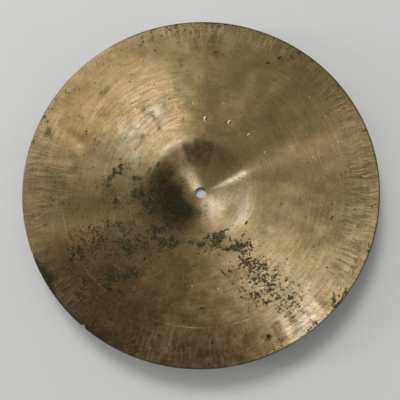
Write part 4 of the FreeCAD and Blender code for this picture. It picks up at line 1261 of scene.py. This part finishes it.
BLACK_BEDS = [
    (295, 90, 14, 12, 34, 0.5, 1.8), (301, 103, 7, 6, 16, 0.6, 2.2), (298, 112, 15, 9, 18, 0.5, 1.7),
    (297, 123, 15, 8, 20, 0.6, 1.9), (290, 123, 9, 6, 18, 0.6, 2.0), (299, 133, 14, 8, 14, 0.5, 1.6),
    (297, 143, 14, 8, 13, 0.5, 1.4), (203, 174, 12, 2.5, 26, 0.8, 2.6), (211, 175, 10, 2, 16, 0.7, 2.2),
    (206, 147, 14, 9, 16, 0.5, 1.7), (196, 138, 10, 12, 16, 0.5, 1.6), (222, 150, 30, 20, 34, 0.4, 1.5),
    (213, 132, 30, 24, 30, 0.4, 1.4), (232, 175, 8, 2, 9, 0.6, 1.8), (242, 173, 6, 3, 8, 0.6, 1.9),
    (206, 128, 26, 24, 70, 0.5, 1.5), (222, 140, 36, 26, 60, 0.5, 1.6), (200, 95, 26, 20, 40, 0.5, 1.3),
    (236, 165, 40, 12, 30, 0.5, 1.4), (215, 167, 26, 8, 36, 0.6, 2.0), (172, 100, 30, 30, 30, 0.4, 1.1),
    (324, 171, 14, 5, 14, 0.6, 1.9), (312, 175, 6, 1.5, 9, 0.6, 1.6), (303, 76, 7, 6, 9, 0.6, 1.8),
    (104, 166, 20, 5, 12, 0.5, 1.3), (295, 158, 14, 8, 8, 0.5, 1.4), (200, 110, 40, 30, 26, 0.4, 1.3),
]

# Single spots of black crust: angle, radius and size.
SINGLE_SPOTS = [
    (202.5, 147, 4.0), (222, 134.8, 5.0), (225.8, 130.5, 4.4), (201.5, 142, 3.6), (203, 145.5, 3.0),
    (192.5, 118, 2.6), (255.8, 133.8, 1.8), (267, 154, 3.2), (243, 172, 3.4), (229, 157, 1.6),
    (286, 161.6, 4.2), (314.5, 58.5, 2.6), (304, 65, 2.6), (338.8, 135, 2.6), (356.5, 142, 1.8),
    (357, 128, 2.0), (309.5, 79.5, 1.6), (16, 157, 1.6), (27.5, 158, 1.5), (54.5, 150.5, 2.6),
    (51, 159.5, 2.6), (48, 168, 2.2), (64, 143, 1.5), (76, 146, 1.8), (100, 166, 1.7), (104.6, 165, 2.2),
    (107.6, 165, 1.8), (98, 162, 1.3), (103, 170.5, 1.3), (111, 160.5, 1.2), (102.2, 165.5, 1.2),
    (145.5, 131, 1.8), (147, 157, 1.6), (178, 148, 2.0), (157.7, 175, 3.4), (4, 101, 1.6), (2, 90, 1.8),
    (264, 121, 2.2), (262.6, 121, 1.6), (341, 83, 1.8), (180.2, 133.2, 2.4), (201.5, 90.8, 2.2),
    (204.8, 85, 2.2), (217.5, 76.5, 2.4), (212.5, 90, 2.0), (219.5, 124, 2.2), (225, 111, 2.6),
    (225.8, 89.5, 1.8), (201.2, 111, 1.6), (241.5, 167.5, 2.0), (258.8, 100.5, 1.6), (198, 127.8, 2.4),
    (195.5, 120.5, 1.8), (209, 155, 2.0), (214, 161, 1.6), (219, 166, 1.8), (227, 164, 1.5),
    (233, 151, 1.4), (207, 133, 1.6), (212, 147, 2.2), (217, 143, 1.7), (191, 148, 1.5), (187, 158, 1.5),
    (196, 158, 1.4), (183, 169, 1.8), (193, 171, 1.6), (188, 175, 2.0), (236, 174, 1.8), (247, 174.5, 1.6),
    (222, 172, 2.2), (310, 175.5, 2.4), (313.5, 175, 2.8), (301, 173, 1.5), (298.5, 172.5, 1.3),
    (276, 172, 1.4), (337, 160, 1.6),
]

# The crack as angles and radii, and dark scratches with their widths.
CRACK = [
    (275.6, 159.0), (277.4, 157.0), (278.6, 154.6), (279.6, 151.0), (280.6, 148.6), (281.6, 146.0),
    (281.6, 143.0), (282.4, 141.0),
]
DARK_SCRATCHES = [
    ([(274.6, 83), (276.3, 86), (277.6, 90), (279.4, 96)], 1.69),
    ([(115.4, 80.5), (115.2, 78.6), (116.8, 76.0)], 1.43),
    ([(95.0, 78.5), (96.4, 76.4), (95.0, 74.6)], 1.17), ([(129.0, 83.0), (131.0, 81.4)], 1.43),
    ([(262.0, 121.6), (265.2, 121.0)], 1.43), ([(115.2, 93.0), (114.6, 90.6), (115.6, 88.0)], 1.17),
    ([(117.0, 103.4), (118.6, 101.6)], 1.17), ([(125.4, 79.0), (127.2, 77.8)], 1.04),
    ([(276.4, 160.4), (275.2, 164.0), (274.2, 168.0), (272.6, 172.6)], 0.78),
    ([(292.0, 115.4), (296.0, 118.5)], 0.78),
]

# Bright hairlines: start, end and width. Bright turned lines: first angle, last angle, radius and width. Both
# are bare metal, and partly painted glints where they lie on the bright fans.
HAIRLINES = [
    ((4.5, 117), (9.5, 127), 0.2), ((306, 118), (311, 150), 0.2), ((318, 70), (321, 88), 0.2),
    ((118, 62), (133, 66), 0.2), ((335, 120), (348, 126), 0.2), ((181, 150), (185, 171), 0.2),
    ((289, 154), (296, 171), 0.2), ((20, 96), (26, 92), 0.2), ((9.9, 147), (11.1, 147), 0.6),
    ((21.6, 147), (22.5, 147), 0.85), ((31.6, 147), (32.8, 147), 0.85), ((43.5, 147), (44.3, 147), 0.55),
    ((72.6, 147), (73.4, 147), 0.55), ((305, 141), (312, 172), 0.3), ((301, 146), (309, 175), 0.3),
    ((297, 150), (304, 176), 0.3), ((300, 148), (306, 175), 0.28), ((295, 152), (301, 175), 0.26),
    ((303, 142), (310.5, 174), 0.26), ((292, 158), (297.5, 174), 0.26), ((307, 146), (313, 170), 0.24),
]
ARC_LINES = [
    (291, 305, 151.5, 0.42), (292, 308, 154.2, 0.5), (290, 303, 156.0, 0.38), (293, 309, 158.6, 0.55),
    (295, 311, 161.4, 0.46), (291, 301, 163.0, 0.42), (298, 310, 165.2, 0.54), (294, 307, 167.6, 0.46),
    (299, 309, 169.8, 0.46), (302, 320, 138.0, 0.18), (305, 322, 131.5, 0.16), (300, 318, 143.5, 0.18),
    (308, 326, 124.0, 0.16), (110, 138, 138.5, 0.2), (128, 150, 131.0, 0.18), (118, 146, 118.0, 0.16),
    (132, 152, 104.5, 0.16), (207, 224, 138.4, 0.12), (80, 100, 131.0, 0.16), (236, 262, 139.0, 0.14),
    (335, 352, 112.0, 0.16), (20, 44, 127.5, 0.14),
]

# Strips: how deep their edges lie in the metal, and how high their middle rises. A strip narrows at its ends
# along a sine, and this share of the sine's half wave is left out at each end.
STRIP_SINK = 0.012 * MM
STRIP_END_SHARE = 0.06
HAIRLINE_CROWN = 0.02 * MM
CRACK_CROWN = 0.04 * MM
CRACK_WIDTH = 1.1 * MM
CRACK_GAPE_WIDTH = 1.4 * MM

# Hairlines bow sideways by these shares of their length. Turned lines and crescents have this many points.
HAIRLINE_BEND_SHARES = (0.02, -0.015)
ARC_POINTS = 13

# Crescents beside the hammer marks: half angle, and distance, width and crown by the mark's size.
BURR_HALF_ANGLES = (48, 70)
BURR_DISTANCE_SHARE = 1.2
BURR_LEAST_WIDTH = 0.10
BURR_WIDTH_SHARE = 0.48
BURR_CROWN_SHARE = 0.045
BURR_SEED = 5

# Flecks: corners, width as a share of the length, reach of the ragged edge and of the middle as shares of the
# half size, height, and how deep the edge lies in the metal. A bed's flecks thin out from its middle.
FLECK_CORNERS = 9
FLECK_WIDTH_SHARES = (0.5, 0.95)
FLECK_EDGE_SHARES = (0.62, 1.15)
FLECK_MIDDLE_SHARE = 0.25
FLECK_HEIGHT = 0.05 * MM
SECOND_FLECK_HEIGHT = 0.06 * MM
FLECK_SINK = 0.015 * MM
FLECK_SPREAD_SHARE = 0.6
LAST_FLECK_RADIUS = 176.6
# A single spot is two flecks: the second one's shift in degrees and millimetres, and its share of the size.
SECOND_FLECK = (0.3, 0.4, 0.7)


def flat_point(degrees, radius_mm):
    at = math.radians(degrees)
    return Vector((radius_mm * MM * math.cos(at), radius_mm * MM * math.sin(at), 0))


def laid_piece(name, bm, material):
    """Lifts flat work, with heights over the metal, onto the worked hollow face, as a piece of its own."""
    place = np.array([v.co[:] for v in bm.verts])
    bell, rim = THICKNESS["top"]
    surface = face_height(np.hypot(place[:, 0], place[:, 1]), bell, rim) + LIFT["top"]
    surface += sheet_change("top", place[:, 0], place[:, 1], np.ones(len(place)))
    for vert, height in zip(bm.verts, surface):
        vert.co.z += float(height)
    return mesh_object(name, bm, material, "top")


def bent_strip(bm, path, width, crown, *, cells):
    """A strip along a flat path, with a raised middle, narrow at its ends."""
    strip = bmesh.ops.create_grid(bm, x_segments=cells, y_segments=2, size=1.0)["verts"]
    lengths = [0.0]
    for a, b in zip(path, path[1:]):
        lengths.append(lengths[-1] + (b - a).length)
    for vert in strip:
        share, side = (vert.co.x + 1) / 2, vert.co.y
        reach = share * lengths[-1]
        i = max(j for j in range(len(path) - 1) if lengths[j] <= reach + 1e-12)
        step = path[i + 1] - path[i]
        place = path[i] + step * ((reach - lengths[i]) / (lengths[i + 1] - lengths[i]))
        way = step.normalized()
        narrowing = math.sin(math.pi * (STRIP_END_SHARE + (1 - 2 * STRIP_END_SHARE) * share))
        vert.co = place + Vector((-way.y, way.x, 0)) * side * width * narrowing / 2
        vert.co.z = crown * (1 - abs(side)) - STRIP_SINK


def hammer_edge_burrs(material):
    """A thin crescent of thrown-up metal beside each distinct hammer mark; its bright bronze also paints a
    glint.
    """
    rng = random.Random(BURR_SEED)
    bm = bmesh.new()
    for degrees, radius, size, facing in EDGE_MARKS:
        half = rng.uniform(*BURR_HALF_ANGLES)
        centre = flat_point(degrees, radius)
        path = []
        for i in range(ARC_POINTS):
            t = math.radians(facing - half + half * i / (ARC_POINTS // 2))
            path.append(centre + Vector((math.cos(t), math.sin(t), 0)) * size * BURR_DISTANCE_SHARE * MM)
        width = BURR_LEAST_WIDTH + BURR_WIDTH_SHARE * size
        bent_strip(bm, path, width * MM, BURR_CROWN_SHARE * size * MM, cells=12)
    return laid_piece("hammer_edge_burrs", bm, material)


def hairline_scratches(material):
    """Bright hairlines, and bright turned lines in the zones of wear, partly painted glints on the bright
    fans.
    """
    bm = bmesh.new()
    for start, end, width in HAIRLINES:
        a, b = flat_point(*start), flat_point(*end)
        bend = Vector((*HAIRLINE_BEND_SHARES, 0)) * (b - a).length
        bent_strip(bm, [a, (a + b) / 2 + bend, b], width * MM, HAIRLINE_CROWN, cells=20)
    for first, last, radius, width in ARC_LINES:
        steps = [first + (last - first) * i / (ARC_POINTS - 1) for i in range(ARC_POINTS)]
        bent_strip(bm, [flat_point(at, radius) for at in steps], width * MM, HAIRLINE_CROWN, cells=48)
    return laid_piece("hairline_scratches", bm, material)


def rim_crack(material):
    """The crack that wanders inwards near the rim, with the stretch where it gapes, and dark scratches."""
    bm = bmesh.new()
    bent_strip(bm, [flat_point(*p) for p in CRACK], CRACK_WIDTH, CRACK_CROWN, cells=24)
    bent_strip(bm, [flat_point(*p) for p in CRACK[2:5]], CRACK_GAPE_WIDTH, CRACK_CROWN, cells=10)
    for points, width in DARK_SCRATCHES:
        path = [flat_point(*p) for p in points]
        bent_strip(bm, path, width * MM, CRACK_CROWN, cells=12)
    return laid_piece("crack_and_dark_scratches", bm, material)


def crust_fleck(bm, rng, place, size, height):
    """One low dome of crust with a ragged outline."""
    circle = bmesh.ops.create_circle(bm, cap_ends=True, cap_tris=True, segments=FLECK_CORNERS, radius=1.0)
    stretch, turn = rng.uniform(*FLECK_WIDTH_SHARES), rng.uniform(0, FULL_TURN)
    for vert in circle["verts"]:
        edge = vert.co.length > 0.5
        reach = size / 2 * (rng.uniform(*FLECK_EDGE_SHARES) if edge else FLECK_MIDDLE_SHARE)
        flat = Vector((vert.co.x * reach, vert.co.y * reach * stretch, 0))
        flat.rotate(Matrix.Rotation(turn, 3, "Z"))
        vert.co = place + flat
        vert.co.z = -FLECK_SINK if edge else height


def crust_piece(name, material, beds, spots, seed):
    """Crust flecks strewn over their beds, and single spots."""
    rng = random.Random(seed)
    bm = bmesh.new()
    for at, where, around, across, count, small, large in beds:
        for _ in range(count):
            radius = min(where + rng.gauss(0, FLECK_SPREAD_SHARE) * across, LAST_FLECK_RADIUS)
            degrees = at + math.degrees(rng.gauss(0, FLECK_SPREAD_SHARE) * around / radius)
            size = small + (large - small) * rng.random() ** 2
            crust_fleck(bm, rng, flat_point(degrees, radius), size * MM, FLECK_HEIGHT)
    turn, inward, share = SECOND_FLECK
    for degrees, radius, size in spots:
        crust_fleck(bm, rng, flat_point(degrees, radius), size * MM, FLECK_HEIGHT)
        second = flat_point(degrees + turn, radius - inward)
        crust_fleck(bm, rng, second, size * share * MM, SECOND_FLECK_HEIGHT)
    return laid_piece(name, bm, material)


# Each sheet: columns round the axis, steps across its hollow and its outer face on bell, shoulder and bow,
# brown tarnish all over, and the share of the painted patina.
SHEETS = [
    ("top", 512, (1.5, 0.9, 1.45), (4.0, 1.8, 6.0), 0.0, 1.0),
    ("bottom", 320, (2.4, 1.2, 2.4), (4.0, 1.8, 6.0), 0.18, 0.3),
]


def build_cymbals():
    """Both sheets, and the small pieces on the upper one."""
    for kind, columns, hollow_steps, outer_steps, general_tarnish, painted in SHEETS:
        bm = turned_sheet(kind, columns, [s * MM for s in hollow_steps], [s * MM for s in outer_steps])
        material = aged_bronze(f"aged_bronze_{kind}", general_tarnish)
        sheet = mesh_object(f"{kind}_cymbal_sheet", bm, material, kind)
        hollow = work_sheet(sheet, kind)
        paint_patina_and_light(sheet, hollow, painted)
        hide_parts(f"{kind}_cymbal")
    crusts = {name: mineral_crust(name, *settings) for name, settings in CRUSTS.items()}
    edge = bare_bronze_and_glint()
    hammer_edge_burrs(edge)
    hairline_scratches(edge)
    rim_crack(crusts["dark_scratches"])
    crust_piece("verdigris_flecks", crusts["verdigris_crust"], GREEN_BEDS, [], seed=31)
    crust_piece("black_crust_flecks", crusts["black_crust"], BLACK_BEDS, SINGLE_SPOTS, seed=47)


# Floor, camera and light

# The floor reaches past the picture and lies just under the lower cymbal.
FLOOR_RADIUS = 6.0
FLOOR_DROP = 0.3 * MM

# Camera: distance and tilt of the photograph, with its small roll.
CAMERA_TARGET = Vector((-0.0017, -0.0158, 0.0379))
CAMERA_DISTANCE = 0.6437
CAMERA_TILT = math.radians(13.52)
CAMERA_ROLL = math.radians(-7.57)
CAMERA_LENS = 58.68
CAMERA_SENSOR = 36.0
CAMERA_NEAR = 0.01

# Soft lamps: azimuth, tilt off vertical, distance, width and height, and power.
LAMPS = {
    "window_lamp": (105, 28, 3.0, (0.95, 0.9), 35.0),
    "wall_lamp": (138, 40, 3.0, (1.6, 1.6), 3.5),
    "strip_lamp": (177, 68, 3.2, (0.17, 1.10), 17.0),
}
ROOM_STRENGTH = 0.53

# Dark flags in the room, which the bronze mirrors: azimuth, half width, lowest and highest height, darkening.
FLAGS = [
    (262, 62, -0.30, 0.50, 0.65), (265, 25, 0.22, 0.95, 0.92), (228, 16, 0.30, 0.80, 0.35),
    (20, 45, 0.25, 0.85, 0.45),
]
FLAG_SIDE_SOFTNESS = 3
FLAG_HEIGHT_SOFTNESS = 0.1


def build_floor():
    bm = bmesh.new()
    bmesh.ops.create_circle(bm, cap_ends=True, segments=96, radius=FLOOR_RADIUS)
    mesh = bpy.data.meshes.new("floor")
    bm.to_mesh(mesh)
    bm.free()
    mesh.transform(Matrix.Translation((0, 0, -FLOOR_DROP)))
    mesh.materials.append(pale_floor())
    floor = bpy.data.objects.new("floor", mesh)
    bpy.context.scene.collection.objects.link(floor)


def build_camera():
    back = Vector((0, -math.sin(CAMERA_TILT), math.cos(CAMERA_TILT)))
    right = Vector((1, 0, 0))
    up = back.cross(right)
    turned_right = right * math.cos(CAMERA_ROLL) + up * math.sin(CAMERA_ROLL)
    turned_up = up * math.cos(CAMERA_ROLL) - right * math.sin(CAMERA_ROLL)
    data = bpy.data.cameras.new("camera")
    data.lens, data.sensor_width, data.clip_start = CAMERA_LENS, CAMERA_SENSOR, CAMERA_NEAR
    camera = bpy.data.objects.new("camera", data)
    place = Matrix((turned_right, turned_up, back)).transposed().to_4x4()
    place.translation = CAMERA_TARGET + back * CAMERA_DISTANCE
    camera.matrix_world = place
    bpy.context.scene.collection.objects.link(camera)
    bpy.context.scene.camera = camera


def way_from(azimuth, tilt=90):
    """The direction at an azimuth and a tilt off vertical, in degrees."""
    a, t = math.radians(azimuth), math.radians(tilt)
    return Vector((math.sin(t) * math.cos(a), math.sin(t) * math.sin(a), math.cos(t)))


def add_lamp(name, azimuth, tilt, distance, size, power):
    """A soft lamp that looks at the cymbals and isn't seen by the camera."""
    data = bpy.data.lights.new(name, "AREA")
    data.shape, data.energy = "RECTANGLE", power
    data.size, data.size_y = size
    lamp = bpy.data.objects.new(name, data)
    way = way_from(azimuth, tilt)
    lamp.matrix_world = Matrix.Translation(way * distance) @ way.to_track_quat("Z", "Y").to_matrix().to_4x4()
    lamp.visible_camera = False
    bpy.context.scene.collection.objects.link(lamp)


def flag_shade(bench, flat, height, flag):
    """How much one dark flag takes from the room's light, from 0 to 1, in each direction."""
    azimuth, half, low, high, share = flag
    to_flag = bench.add("ShaderNodeVectorMath", {0: flat, 1: way_from(azimuth)}, operation="DOT_PRODUCT")
    outside_edge = math.cos(math.radians(half + FLAG_SIDE_SOFTNESS))
    inside_edge = math.cos(math.radians(half - FLAG_SIDE_SOFTNESS))
    inside = bench.ramp(to_flag.outputs["Value"], outside_edge, inside_edge)
    foot = bench.ramp(height, low, low + FLAG_HEIGHT_SOFTNESS)
    head = bench.ramp(height, high - FLAG_HEIGHT_SOFTNESS, high, 1, 0)
    return bench.times(bench.times(inside, bench.times(foot, head)), share)


def build_light():
    scene = bpy.context.scene
    scene.view_settings.view_transform = "Standard"
    world = bpy.data.worlds.new("room")
    scene.world = world
    world.use_nodes = True
    bench = NodeBench(world.node_tree)
    parts = bench.parts(bench.add("ShaderNodeTexCoord").outputs["Generated"])
    flat = bench.unit(bench.flat(parts))
    strength = ROOM_STRENGTH
    for flag in FLAGS:
        strength = bench.times(strength, bench.minus(1.0, flag_shade(bench, flat, parts["Z"], flag)))
    seen = bench.add("ShaderNodeLightPath").outputs["Is Camera Ray"]
    strength = bench.ramp(seen, 0.0, 1.0, strength, ROOM_STRENGTH, "LINEAR")
    background = world.node_tree.nodes["Background"]
    background.inputs["Color"].default_value = ROOM_WHITE
    bench.feed(background.inputs["Strength"], strength)
    for name, settings in LAMPS.items():
        add_lamp(name, *settings)


build_camera()
build_cymbals()
build_floor()
build_light()
